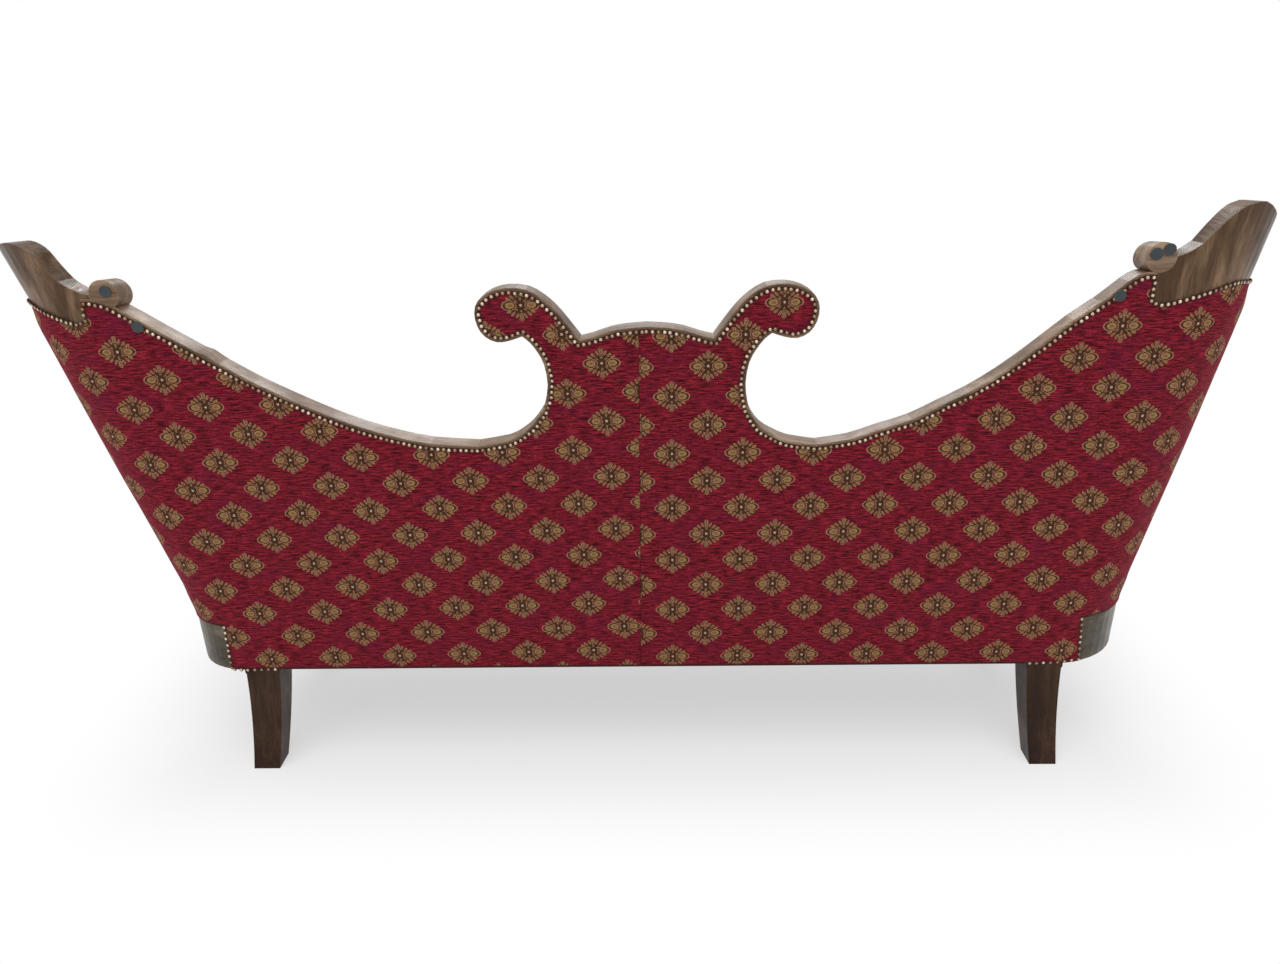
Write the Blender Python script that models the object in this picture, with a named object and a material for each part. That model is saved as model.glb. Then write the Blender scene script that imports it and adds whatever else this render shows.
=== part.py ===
"""A three-seater settee with a double-scroll crest, in metres, standing on its legs with its back to +Y.

The outer shell (back, rounded corners and leaning arms) is one surface. A piece of it is drawn flat, as an
outline of run (the distance round the shell from the middle of the back) and height above the floor, and is
then wrapped round the shell at its own depth below the surface.
"""

import math

import bmesh
import bpy
from mathutils import Matrix, Vector

# Driving sizes of the whole
LEG_HEIGHT = 0.206
RAIL_HEIGHT = 0.105
RAIL_THICKNESS = 0.04
HALF_LENGTH = 0.936
BASE_SHIFT = 0.016
FRONT_Y = -0.60
BACK_RAKE = math.radians(4)
GAP = 0.0003
RAIL_TOP = LEG_HEIGHT + RAIL_HEIGHT

# The tables of the outlines are drawn for this half length and rail top, and follow the real ones
DRAWN_HALF_LENGTH = 0.936
DRAWN_RAIL_TOP = 0.311
STRETCH = HALF_LENGTH / DRAWN_HALF_LENGTH
RISE = RAIL_TOP - DRAWN_RAIL_TOP

# Rounded rear corners: the radius grows from the seat rail up to the wings, and the lean starts above the rail
LOW_RADIUS_LEFT = 0.117
LOW_RADIUS_RIGHT = 0.171
HIGH_RADIUS = 0.18
HIGH_RADIUS_Z = RAIL_TOP + 0.609
LEAN_START = 0.06
CORNER_STEP = math.radians(7.5)
FLAT_RUN = HALF_LENGTH - LOW_RADIUS_RIGHT - 0.011
CORNER_RUN = FLAT_RUN + 0.07
CORNER_RUN_RADIUS = 0.16

# Cloth and boards of the shell
COVER_THICKNESS = 0.0025
BOARD_THICKNESS = 0.045
WING_THICKNESS = 0.039
ARRIS = 0.0025
COVER_INSET = 0.005
COVER_LAP = 0.006
CREST_WIDTH = 0.07
CREST_SHIFT = -0.004
CREST_TAPER_X = 0.20 * STRETCH
CREST_JOINT_X = 0.30 * STRETCH
CREST_CENTER_BOTTOM = RAIL_TOP + 0.294
POST_TOP = RAIL_TOP + 0.489
WING_FOOT = RAIL_TOP + 0.569
JOINT_SHARES = (0, 0.3, 0.8)
TACK_MARGIN = 0.02
SEAM_TOP_X = 0.009
SEAM_BOTTOM_X = 0.018
STEP_CORNER = 0.006
WING_JOINT_TURN = 74
JOINT_GAP = 0.0006

# Rolls at the ends of the crest: they fall away from the square of the back
ROLL_RADIUS = 0.025
ROLL_LENGTH = 0.047
ROLL_FALL = math.tan(math.radians(9.5))

# Frame inside the back and the arms
POST_WIDTH = 0.07
POST_THICKNESS = 0.035
CORNER_POST_TURNS = (40, 58)
MUNTIN_WIDTH = 0.06
MUNTIN_THICKNESS = 0.03
TACK_RAIL_Z = (RAIL_TOP + 0.039, RAIL_TOP + 0.079)
TACK_RAIL_THICKNESS = 0.025

# Arm fronts
ARM_FRONT_THICKNESS = 0.045
ARM_SCROLL_Z = RAIL_TOP + 0.314
ARM_SCROLL_RADIUS = 0.054
ARM_SCROLL_INSET = 0.02
ARM_SCROLL_TURNS = range(-50, 231, 14)
ARM_WAIST_DROP = 1.25 * ARM_SCROLL_RADIUS

# Pads
PAD_THICKNESS = 0.045
PAD_CROWN = 0.015
PAD_CROWN_REACH = 0.12
PAD_EDGE = 0.018
PAD_BOTTOM = RAIL_TOP + 0.019
PAD_SEAM_TURN = 50
PAD_GRID = 0.12
PAD_CLEARANCE = 0.002
BACK_PAD_BORDER = 0.045
SEAT_TOP = RAIL_TOP + 0.129
SEAT_CROWN = 0.02
SEAT_EDGE = 0.03
SEAT_CORNER = 0.05
SEAT_CORNER_STEPS = 4
SEAT_CLEARANCE = 0.004

# Legs: width and depth at the top and at the foot
LEG_TOP = (0.067, 0.07)
LEG_FOOT = (0.052, 0.05)
LEG_TOP_X = HALF_LENGTH - 0.168
LEG_FOOT_X = HALF_LENGTH - 0.161
LEG_SWEEP = 0.039
LEG_COLLAR = 0.002
LEG_COLLAR_HEIGHT = 0.008
LEG_ROWS = 8

# Seat suspension
WEB_WIDTH = 0.06
WEB_THICKNESS = 0.002
CROSS_WEB_THICKNESS = 0.0016
WEB_EDGE = 0.015
SPRING_X = [x * STRETCH for x in (-0.625, -0.375, -0.125, 0.125, 0.375, 0.625)]
SPRING_Y = (-0.41, -0.19)
SPRING_RADIUS = 0.045
SPRING_WAIST = 0.034
SPRING_WIRE = 0.002
SPRING_TURNS = 3
SPRING_POINTS = 8
CANVAS_THICKNESS = 0.0025
CANVAS_HALF = FLAT_RUN - 0.005
CLOTH_THICKNESS = 0.0012
CLOTH_HALF = HALF_LENGTH - 0.036
CLOTH_NOTCH_X = HALF_LENGTH - 0.236
CLOTH_NOTCH = 0.09
BRACE_WIDTH = 0.04
BRACE_HEIGHT = 0.055
BLOCK_HEIGHT = 0.06
BLOCK_REACH = 0.12

# Felt pads stuck on the back
FELT_RADIUS = 0.0098
FELT_THICKNESS = 0.0025


def drawn(points):
    """Table values (distance from the middle, height) at the real half length and rail top."""
    return [(x * STRETCH, z + RISE) for x, z in points]


def risen(points):
    """Table values whose first number is a turn or a y, at the real rail top."""
    return [(place, z + RISE) for place, z in points]


# Upper edge of the crest from its middle to the joint, seen from behind: distance from the middle and height.
# The scroll meets the arch in one sharp notch and its own neck in another.
ARCH = drawn([(0.0, 0.889), (0.032, 0.887), (0.062, 0.882), (0.092, 0.872), (0.1135, 0.867)])
SCROLL = drawn([
    (0.1135, 0.867), (0.1335, 0.895), (0.1535, 0.9205), (0.1745, 0.940), (0.1995, 0.9545), (0.2325, 0.958),
    (0.2605, 0.9515), (0.281, 0.937), (0.2885, 0.917), (0.2855, 0.894), (0.274, 0.8755), (0.254, 0.8655),
    (0.232, 0.868), (0.211, 0.875),
])

# The two ends of the sofa are hand made and differ: every pair is a distance and a height.
# neck, swoop, wing_top and border run out from the middle, and the arm lines run forwards, by y.
LEFT = {
    "name": "left",
    "sign": 1,
    "lean": 0.3235,
    "low_radius": LOW_RADIUS_LEFT,
    "board": 0.042,
    "neck": drawn([
        (0.211, 0.875), (0.1985, 0.864), (0.1865, 0.847), (0.1765, 0.824), (0.1725, 0.788), (0.1795, 0.754),
        (0.1905, 0.733), (0.206, 0.713), (0.2245, 0.698), (0.250, 0.685), (0.30, 0.676),
    ]),
    "swoop": drawn([
        (0.30, 0.676), (0.383, 0.682), (0.444, 0.696), (0.504, 0.715), (0.563, 0.740), (0.621, 0.769),
        (0.678, 0.7995), (0.733, 0.8345), (0.804, 0.880), (0.874, 0.926), (0.900, 0.942), (0.922, 0.949),
        (0.945, 0.951),
    ]),
    "roll": drawn([(0.903, 0.957)])[0],
    "joint_x": 0.945 * STRETCH,
    "wing_top": drawn([
        (0.915, 0.955), (0.938, 0.959), (0.958, 0.968), (0.977, 0.980), (0.997, 1.003), (1.013, 1.025),
        (1.032, 1.037), (1.058, 1.042), (1.085, 1.039),
    ]),
    "wing_tip": risen([(60, 1.027), (68, 1.010)]),
    "border": drawn([(0.960, 0.908), (1.000, 0.917), (1.035, 0.928), (1.068, 0.937)]),
    "border_tip": risen([(66, 0.935)]),
    "base_cover": drawn([(0.828, 0.305), (0.831, 0.206)]),
    "felt": (("roll", *drawn([(0.898, 0.9625)])[0]), ("cover", *drawn([(0.856, 0.902)])[0])),
}
RIGHT = {
    "name": "right",
    "sign": -1,
    "lean": 0.195,
    "low_radius": LOW_RADIUS_RIGHT,
    "board": 0.037,
    "neck": drawn([
        (0.211, 0.875), (0.198, 0.864), (0.1855, 0.847), (0.1740, 0.824), (0.1685, 0.788), (0.1725, 0.754),
        (0.1815, 0.727), (0.198, 0.705), (0.220, 0.691), (0.248, 0.679), (0.30, 0.672),
    ]),
    "swoop": drawn([
        (0.30, 0.672), (0.359, 0.681), (0.411, 0.699), (0.463, 0.716), (0.513, 0.742), (0.562, 0.768),
        (0.610, 0.8005), (0.657, 0.8385), (0.716, 0.890), (0.756, 0.919), (0.795, 0.953), (0.816, 0.966),
        (0.838, 0.968),
    ]),
    "roll": drawn([(0.841, 0.991)])[0],
    "joint_x": 0.838 * STRETCH,
    "wing_lip": 0.982 + RISE,
    "wing_top": drawn([
        (0.860, 0.990), (0.874, 0.995), (0.887, 1.001), (0.898, 1.009), (0.912, 1.023), (0.928, 1.041),
        (0.945, 1.057), (0.961, 1.068), (0.979, 1.073), (1.004, 1.075), (1.038, 1.059),
    ]),
    "wing_tip": risen([(60, 1.040), (68, 1.018)]),
    "border": drawn([(0.856, 0.914), (0.900, 0.925), (0.950, 0.939), (0.990, 0.945), (1.031, 0.940)]),
    "border_tip": risen([(66, 0.935)]),
    "base_cover": drawn([(0.828, 0.305), (0.838, 0.206)]),
    "felt": (
        ("roll", *drawn([(0.831, 0.997)])[0]), ("roll", *drawn([(0.851, 1.004)])[0]),
        ("cover", *drawn([(0.783, 0.930)])[0]),
    ),
}
SIDES = (LEFT, RIGHT)
WING_JOINT_Z = 0.99 + RISE
BORDER_JOINT_Z = 0.93 + RISE
ARM_TOP = risen([(-0.17, 0.942), (-0.26, 0.862), (-0.36, 0.778), (-0.46, 0.712)])
ARM_TOP_FRONT = 0.67 + RISE
ARM_BORDER = risen([(-0.17, 0.885), (-0.26, 0.804), (-0.36, 0.718), (-0.46, 0.655)])
ARM_BORDER_FRONT = 0.615 + RISE

# Sizes that follow
WOOD_DEPTH = COVER_THICKNESS + GAP
ARM_BACK_Y = FRONT_Y + ARM_FRONT_THICKNESS
RAIL_INSET = WOOD_DEPTH + RAIL_THICKNESS + GAP
BACK_RAIL_INNER_Y = -WOOD_DEPTH - RAIL_THICKNESS
CREST_DEPTH = (WOOD_DEPTH, WOOD_DEPTH + BOARD_THICKNESS)
WING_DEPTH = (WOOD_DEPTH, WOOD_DEPTH + WING_THICKNESS)
BACK_PAD_DEPTH = (CREST_DEPTH[1] + GAP, CREST_DEPTH[1] + GAP + PAD_THICKNESS)
ARM_PAD_DEPTH = (WING_DEPTH[1] + GAP, WING_DEPTH[1] + GAP + PAD_THICKNESS)
CANVAS_Z = RAIL_TOP + GAP
SEAT_BOTTOM = CANVAS_Z + CANVAS_THICKNESS + GAP
WEB_TOP = LEG_HEIGHT - GAP


def clear_scene():
    for old in list(bpy.data.objects):
        bpy.data.objects.remove(old, do_unlink=True)


def new_collection(name):
    collection = bpy.data.collections.new(name)
    bpy.context.scene.collection.children.link(collection)
    return collection


def new_material(name, colour, roughness, metallic=0.0):
    material = bpy.data.materials.new(name)
    material.use_nodes = True
    shader = material.node_tree.nodes["Principled BSDF"]
    shader.inputs["Base Color"].default_value = (*colour, 1.0)
    shader.inputs["Roughness"].default_value = roughness
    shader.inputs["Metallic"].default_value = metallic
    return material


clear_scene()
SOFA = new_collection("double_scroll_sofa")
CUTTERS = new_collection("cutters")
SHOW_WOOD = new_material("dark_wood", (0.075, 0.035, 0.018), 0.3)
FRAME_WOOD = new_material("frame_wood", (0.45, 0.31, 0.17), 0.7)
CHENILLE = new_material("crimson_chenille", (0.27, 0.012, 0.03), 0.9)
FELT = new_material("felt", (0.05, 0.065, 0.075), 0.95)
SPRING_STEEL = new_material("spring_steel", (0.4, 0.33, 0.25), 0.4, 1.0)
JUTE = new_material("jute", (0.42, 0.3, 0.17), 0.95)
DARK_CLOTH = new_material("dark_cloth", (0.02, 0.02, 0.022), 0.95)
ROOT = bpy.data.objects.new("sofa", None)
SOFA.objects.link(ROOT)


def add_object(name, data, material, location=(0, 0, 0), rotation=(0, 0, 0)):
    """Links a new piece of the sofa, carried by the root empty."""
    piece = bpy.data.objects.new(name, data)
    piece.location = location
    piece.rotation_euler = rotation
    piece.parent = ROOT
    if material and not data.materials:
        data.materials.append(material)
    SOFA.objects.link(piece)
    return piece


def shade(mesh, degrees=35):
    mesh.shade_smooth()
    mesh.set_sharp_from_angle(angle=math.radians(degrees))


# The shell's own geometry


def back_y(z):
    return (z - LEG_HEIGHT) * math.tan(BACK_RAKE)


def base_half(side):
    """The base stands a little to the right of the middle of the back."""
    return HALF_LENGTH - side["sign"] * BASE_SHIFT


def side_x(side, z):
    """The side stands upright on the rail, leans half as much up to LEAN_START, and then fully."""
    height = z - RAIL_TOP
    return base_half(side) + side["lean"] * max(height - LEAN_START / 2, height / 2, 0)


def corner_radius(side, z):
    share = min(max((z - RAIL_TOP) / (HIGH_RADIUS_Z - RAIL_TOP), 0), 1)
    return side["low_radius"] + share * (HIGH_RADIUS - side["low_radius"])


def flat_x(side, z):
    return side_x(side, z) - corner_radius(side, z)


def board_at(side, x):
    """The crest's thickness, which tapers from the scrolls to the joint."""
    share = min(max((x - CREST_TAPER_X) / (CREST_JOINT_X - CREST_TAPER_X), 0), 1)
    return BOARD_THICKNESS + share * (side["board"] - BOARD_THICKNESS)


def run_at(side, x, z):
    """The run of a point that lies x out from the middle, on the back or on its corner."""
    flat = flat_x(side, z)
    if x <= FLAT_RUN:
        return x
    if x <= flat:
        return FLAT_RUN + (x - FLAT_RUN) / (flat - FLAT_RUN) * (CORNER_RUN - FLAT_RUN)
    return CORNER_RUN + CORNER_RUN_RADIUS * math.asin(min((x - flat) / corner_radius(side, z), 1))


def run_turned(degrees):
    return CORNER_RUN + CORNER_RUN_RADIUS * math.radians(degrees)


def run_ahead(side, y, z):
    """The run of a point of the side that lies at y."""
    return run_turned(90) + back_y(z) - corner_radius(side, z) - y


def corner_place(side, turn, depth, z):
    """A point of the corner in plan, on straight facets from one step of turn to the next."""
    radius = corner_radius(side, z)
    low = math.floor(turn / CORNER_STEP + 1e-9) * CORNER_STEP
    share = (turn - low) / CORNER_STEP
    ends = []
    for angle in (low, low + CORNER_STEP):
        x = flat_x(side, z) + (radius - depth) * math.sin(angle)
        y = back_y(z) - radius + (radius - depth) * math.cos(angle)
        ends.append(Vector((x, y)))
    return ends[0].lerp(ends[1], share)


def shell_place(side):
    """The function that wraps a flat drawing (run, height, depth) round this side of the shell."""

    def place(run, z, depth):
        flat = flat_x(side, z)
        if run <= FLAT_RUN:
            x, y = run, back_y(z) - depth
        elif run <= CORNER_RUN:
            share = (run - FLAT_RUN) / (CORNER_RUN - FLAT_RUN)
            x, y = FLAT_RUN + share * (flat - FLAT_RUN), back_y(z) - depth
        elif run < run_turned(90):
            x, y = corner_place(side, (run - CORNER_RUN) / CORNER_RUN_RADIUS, depth, z)
        else:
            x, y = side_x(side, z) - depth, back_y(z) - corner_radius(side, z) - (run - run_turned(90))
        return Vector((side["sign"] * x, y, z))

    return place


def by_x(side, points):
    return [(run_at(side, x, z), z) for x, z in points]


def by_turn(points):
    return [(run_turned(turn), z) for turn, z in points]


def by_y(side, points):
    return [(run_ahead(side, y, z), z) for y, z in points]


# Outlines


def smooth(points, steps=2):
    """A Catmull-Rom line through the points, with its ends kept."""
    line = []
    last = len(points) - 1
    for i in range(last):
        p0, p1, p2, p3 = (Vector(points[j]) for j in (max(i - 1, 0), i, i + 1, min(i + 2, last)))
        for k in range(steps):
            t = k / steps
            bend = 2 * p1 + (p2 - p0) * t + (2 * p0 - 5 * p1 + 4 * p2 - p3) * t**2
            bend += (3 * p1 - p0 - 3 * p2 + p3) * t**3
            line.append(tuple(bend / 2))
    line.append(tuple(points[-1]))
    return line


def moved_in(points, distance):
    """An open line moved to its right by a distance, each corner along its bisector."""
    moved = []
    for i, point in enumerate(points):
        before = Vector(points[max(i - 1, 0)])
        here = Vector(point)
        after = Vector(points[min(i + 1, len(points) - 1)])
        first = (here - before) if i else (after - here)
        second = (after - here) if i < len(points) - 1 else first
        normals = [Vector((edge.y, -edge.x)).normalized() for edge in (first, second)]
        middle = (normals[0] + normals[1]).normalized()
        reach = distance / max(middle.dot(normals[0]), 0.5)
        moved.append(tuple(here + middle * reach))
    return moved


def crest_middle(side):
    """The crest's upper edge from the arch out to the joint, sharp at both notches and a little off the middle."""
    shift = side["sign"] * CREST_SHIFT
    arch, scroll, neck = ([(x + shift, z) for x, z in points] for points in (ARCH, SCROLL, side["neck"]))
    neck[-1] = side["swoop"][0]
    return smooth(arch)[:-1] + smooth(scroll)[:-1] + smooth(neck)


def crest_edge(side):
    return crest_middle(side)[:-1] + smooth(side["swoop"])


def joint_levels(side):
    """Heights along the joint of crest and wing, from the wing's foot to the crest's lip."""
    lip = side["swoop"][-1][1]
    levels = [WING_FOOT + share * (lip - WING_FOOT) for share in JOINT_SHARES]
    if WING_FOOT < HIGH_RADIUS_Z < lip:
        levels.append(HIGH_RADIUS_Z)
    return sorted(levels)


def wing_top(side):
    corner = by_x(side, side["wing_top"]) + by_turn(side["wing_tip"])
    return smooth(corner + by_turn([(WING_JOINT_TURN, WING_JOINT_Z)]))


def wing_border(side):
    corner = by_x(side, side["border"]) + by_turn(side["border_tip"])
    return smooth(corner + by_turn([(WING_JOINT_TURN, BORDER_JOINT_Z)]))


def arm_top(side):
    line = by_turn([(WING_JOINT_TURN, WING_JOINT_Z)])
    return smooth(line + by_y(side, [*ARM_TOP, (ARM_BACK_Y + GAP, ARM_TOP_FRONT)]))


def arm_border(side):
    line = by_turn([(WING_JOINT_TURN, BORDER_JOINT_Z)])
    return smooth(line + by_y(side, [*ARM_BORDER, (ARM_BACK_Y + GAP, ARM_BORDER_FRONT)]))


def rectangle(left, bottom, right, top):
    return [(left, bottom), (right, bottom), (right, top), (left, top)]


# Solids made from outlines


def flat_mesh(outline, thickness):
    """A flat board as a mesh: the outline in X and Y, and the thickness from Z = 0 up."""
    curve = bpy.data.curves.new("outline", "CURVE")
    curve.dimensions = "2D"
    curve.fill_mode = "BOTH"
    curve.extrude = thickness / 2
    spline = curve.splines.new("POLY")
    spline.points.add(len(outline) - 1)
    for point, (x, y) in zip(spline.points, outline):
        point.co = (x, y, 0, 1)
    spline.use_cyclic_u = True
    guide = bpy.data.objects.new("outline", curve)
    bpy.context.scene.collection.objects.link(guide)
    graph = bpy.context.evaluated_depsgraph_get()
    mesh = bpy.data.meshes.new_from_object(guide.evaluated_get(graph))
    bpy.data.objects.remove(guide)
    bpy.data.curves.remove(curve)
    mesh.transform(Matrix.Translation((0, 0, thickness / 2)))
    return mesh


def bevel_rims(bm, edge, segments, thickness, top_only):
    """Rounds the rims of a flat board, or only the upper one."""
    rims = []
    for rim in bm.edges:
        level = [abs(vert.co.z - (thickness if vert.co.z > thickness / 2 else 0)) < 1e-6 for vert in rim.verts]
        flat = abs(rim.verts[0].co.z - rim.verts[1].co.z) < 1e-6
        upper = rim.verts[0].co.z > thickness / 2
        if flat and all(level) and len(rim.link_faces) == 2 and (upper or not top_only):
            rims.append(rim)
    bmesh.ops.bevel(
        bm, geom=rims, offset=edge, offset_type="OFFSET", segments=segments, profile=0.5, affect="EDGES"
    )


def cut_across(bm, axis, at, beyond=None):
    """Adds an edge loop where the piece crosses a plane, or only where its run is past a value."""
    normal = Vector((0, 0, 0))
    normal[axis] = 1
    faces = bm.faces
    if beyond is not None:
        faces = [face for face in bm.faces if face.calc_center_median().x > beyond]
    edges = {edge for face in faces for edge in face.edges}
    verts = {vert for face in faces for vert in face.verts}
    bmesh.ops.bisect_plane(
        bm, geom=list(verts) + list(edges) + list(faces), dist=1e-6, plane_co=normal * at, plane_no=normal
    )


def cut_for_shell(bm, winding):
    """Edge loops on every facet line of the corner, and where the shell's rulings change.

    A winding outline is first split into triangles, which are joined again past the flat of the back.
    """
    if winding:
        bmesh.ops.triangulate(bm, faces=bm.faces)
    cut_across(bm, 0, FLAT_RUN)
    if winding:
        limit = FLAT_RUN + 1e-6
        edges = [edge for edge in bm.edges if sum(vert.co.x for vert in edge.verts) / 2 > limit]
        verts = [vert for vert in bm.verts if vert.co.x > limit]
        bmesh.ops.dissolve_limit(bm, angle_limit=1e-3, verts=verts, edges=edges)
    for step in range(round(math.radians(90) / CORNER_STEP) + 1):
        cut_across(bm, 0, CORNER_RUN + CORNER_RUN_RADIUS * CORNER_STEP * step)
    for level in (RAIL_TOP, RAIL_TOP + LEAN_START, HIGH_RADIUS_Z):
        cut_across(bm, 1, level, beyond=FLAT_RUN)


def distance_to_outline(point, outline):
    nearest = 1.0
    for i, end in enumerate(outline):
        start, stop = Vector(outline[i - 1]), Vector(end)
        along = stop - start
        share = (point - start).dot(along) / max(along.length_squared, 1e-12)
        nearest = min(nearest, (start + along * min(max(share, 0), 1) - point).length)
    return nearest


def raise_crown(bm, outline, thickness, crown):
    """Swells the upper face, most in its middle and not at its rim."""
    for vert in bm.verts:
        if vert.co.z > thickness - 1e-6:
            share = min(distance_to_outline(vert.co.xy, outline) / PAD_CROWN_REACH, 1)
            vert.co.z += crown * math.sin(share * math.pi / 2)


def outline_mesh(
    name, outline, thickness, edge=0.0, segments=1, top_only=False, grid=None, crown=0.0, wrap=False,
    winding=False, lines=(),
):
    """A flat piece with bevelled rims, cut into a grid and along upright lines, then swelled by its crown."""
    mesh = flat_mesh(outline, thickness)
    mesh.name = name
    bm = bmesh.new()
    bm.from_mesh(mesh)
    bmesh.ops.remove_doubles(bm, verts=bm.verts, dist=1e-6)
    bmesh.ops.dissolve_limit(bm, angle_limit=1e-3, verts=bm.verts, edges=bm.edges)
    if edge:
        bevel_rims(bm, edge, segments, thickness, top_only)
    if grid:
        for axis in (0, 1):
            values = [point[axis] for point in outline]
            first = math.floor(min(values) / grid) + 1
            for line in range(first, math.ceil(max(values) / grid)):
                cut_across(bm, axis, line * grid)
    for line in lines:
        cut_across(bm, 0, line)
    if wrap:
        cut_for_shell(bm, winding)
    if crown:
        raise_crown(bm, outline, thickness, crown)
    bm.to_mesh(mesh)
    bm.free()
    return mesh


def shell_piece(name, side, outline, depth, material, **shape):
    """A board, cloth or pad of the shell, between two depths below its surface."""
    mesh = outline_mesh(name, outline, depth[1] - depth[0], wrap=True, **shape)
    place = shell_place(side)
    bm = bmesh.new()
    bm.from_mesh(mesh)
    for vert in bm.verts:
        vert.co = place(vert.co.x, vert.co.y, depth[0] + vert.co.z)
    bmesh.ops.triangulate(bm, faces=bm.faces)
    bmesh.ops.recalc_face_normals(bm, faces=bm.faces)
    bm.to_mesh(mesh)
    bm.free()
    shade(mesh)
    return add_object(name, mesh, material)


def plan_piece(name, outline, bottom, top, material, **shape):
    """A flat piece drawn in plan, from one height to another."""
    mesh = outline_mesh(name, outline, top - bottom, **shape)
    shade(mesh)
    return add_object(name, mesh, material, location=(0, 0, bottom))


def box(name, x, y, z, material):
    bm = bmesh.new()
    bmesh.ops.create_cube(bm, size=1)
    size = Vector((x[1] - x[0], y[1] - y[0], z[1] - z[0]))
    bmesh.ops.scale(bm, vec=size, verts=bm.verts)
    mesh = bpy.data.meshes.new(name)
    bm.to_mesh(mesh)
    bm.free()
    middle = ((x[0] + x[1]) / 2, (y[0] + y[1]) / 2, (z[0] + z[1]) / 2)
    return add_object(name, mesh, material, location=middle)


def disc(name, radius, thickness, segments, material, x, z, depth, fall=0.0, proud=0.0):
    """A round piece set square to the raked back, with its outer face at a depth below the shell.

    Its axis falls by a share of its length, and a cutter stands proud of that face.
    """
    mesh = bpy.data.meshes.new(name)
    bm = bmesh.new()
    bmesh.ops.create_cone(
        bm, cap_ends=True, segments=segments, radius1=radius, radius2=radius, depth=thickness + proud,
        matrix=Matrix.Translation((0, 0, (proud - thickness) / 2)),
    )
    for vert in bm.verts:
        vert.co.y -= fall * vert.co.z
    bm.to_mesh(mesh)
    bm.free()
    shade(mesh)
    tilt = -math.pi / 2 - BACK_RAKE
    piece = add_object(name, mesh, material, rotation=(tilt, 0, 0))
    inward = Vector((0, -math.cos(BACK_RAKE), math.sin(BACK_RAKE)))
    piece.location = Vector((x, back_y(z), z)) + inward * depth
    return piece


# Crest, rolls and wings


def make_crest_center():
    left, right = crest_middle(LEFT), crest_middle(RIGHT)
    outline = [(-x, z) for x, z in reversed(right)][:-1] + left
    outline += [(CREST_JOINT_X, CREST_CENTER_BOTTOM), (-CREST_JOINT_X, CREST_CENTER_BOTTOM)]
    mesh = outline_mesh("crest_center", outline, BOARD_THICKNESS, lines=(-CREST_TAPER_X, CREST_TAPER_X))
    bm = bmesh.new()
    bm.from_mesh(mesh)
    for vert in bm.verts:
        x, z, share = vert.co.x, vert.co.y, vert.co.z / BOARD_THICKNESS
        depth = WOOD_DEPTH + share * board_at(LEFT if x > 0 else RIGHT, abs(x))
        vert.co = (x, back_y(z) - depth, z)
    bmesh.ops.triangulate(bm, faces=bm.faces)
    bmesh.ops.recalc_face_normals(bm, faces=bm.faces)
    bm.to_mesh(mesh)
    bm.free()
    shade(mesh)
    add_object("crest_center", mesh, SHOW_WOOD)


def make_crest_side(side):
    start = CREST_JOINT_X + GAP
    top = [(start, side["swoop"][0][1])] + smooth(side["swoop"])[1:-1]
    top.append((side["joint_x"], side["swoop"][-1][1]))
    seat = POST_TOP + GAP
    lower = [(side["joint_x"], z) for z in (*reversed(joint_levels(side)), seat)] + [(FLAT_RUN, seat)]
    lower += [(x, min(z - CREST_WIDTH, seat)) for x, z in reversed(top) if x < FLAT_RUN]
    outline = by_x(side, top + lower)
    depth = (WOOD_DEPTH, WOOD_DEPTH + side["board"])
    return shell_piece("crest_side_" + side["name"], side, outline, depth, SHOW_WOOD)


def make_wing(side):
    inner = side["joint_x"] + JOINT_GAP
    lip = side["swoop"][-1][1] + GAP
    top = wing_top(side)
    start = side["wing_top"][0][0]
    step = [(inner, lip), (start, lip)] if start < inner else [(inner, side["wing_lip"])]
    outline = by_x(side, [(inner, z) for z in joint_levels(side)] + step)
    outline += top[:-1]
    outline += [(top[-1][0] - GAP, top[-1][1]), (top[-1][0] - GAP, WING_FOOT)]
    return shell_piece("wing_" + side["name"], side, outline, WING_DEPTH, SHOW_WOOD)


def make_roll(side, neighbours):
    """The roll at the end of the crest, and its bed in the boards that carry it."""
    x, z = side["roll"]
    name = "crest_roll_" + side["name"]
    disc(name, ROLL_RADIUS, ROLL_LENGTH, 32, SHOW_WOOD, side["sign"] * x, z, WOOD_DEPTH, fall=ROLL_FALL)
    cutter = disc(
        "roll_bed_" + side["name"], ROLL_RADIUS + GAP, 2 * BOARD_THICKNESS, 32, None, side["sign"] * x, z,
        WOOD_DEPTH, fall=ROLL_FALL, proud=BOARD_THICKNESS,
    )
    SOFA.objects.unlink(cutter)
    CUTTERS.objects.link(cutter)
    cutter.hide_render = True
    cutter.display_type = "WIRE"
    for board in neighbours:
        bed = board.modifiers.new("roll bed", "BOOLEAN")
        bed.operation = "DIFFERENCE"
        bed.object = cutter


# Arms


def make_arm_rail(side):
    top = arm_top(side)
    border = arm_border(side)
    start = top[0][0] + GAP
    lower = by_y(side, [(ARM_BACK_Y + GAP, ARM_BORDER_FRONT - TACK_MARGIN)])
    lower += [(run, z - TACK_MARGIN) for run, z in reversed(border[1:-1])]
    outline = [(start, top[0][1])] + top[1:] + lower + [(start, WING_FOOT)]
    shell_piece("arm_rail_" + side["name"], side, outline, WING_DEPTH, SHOW_WOOD)


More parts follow.
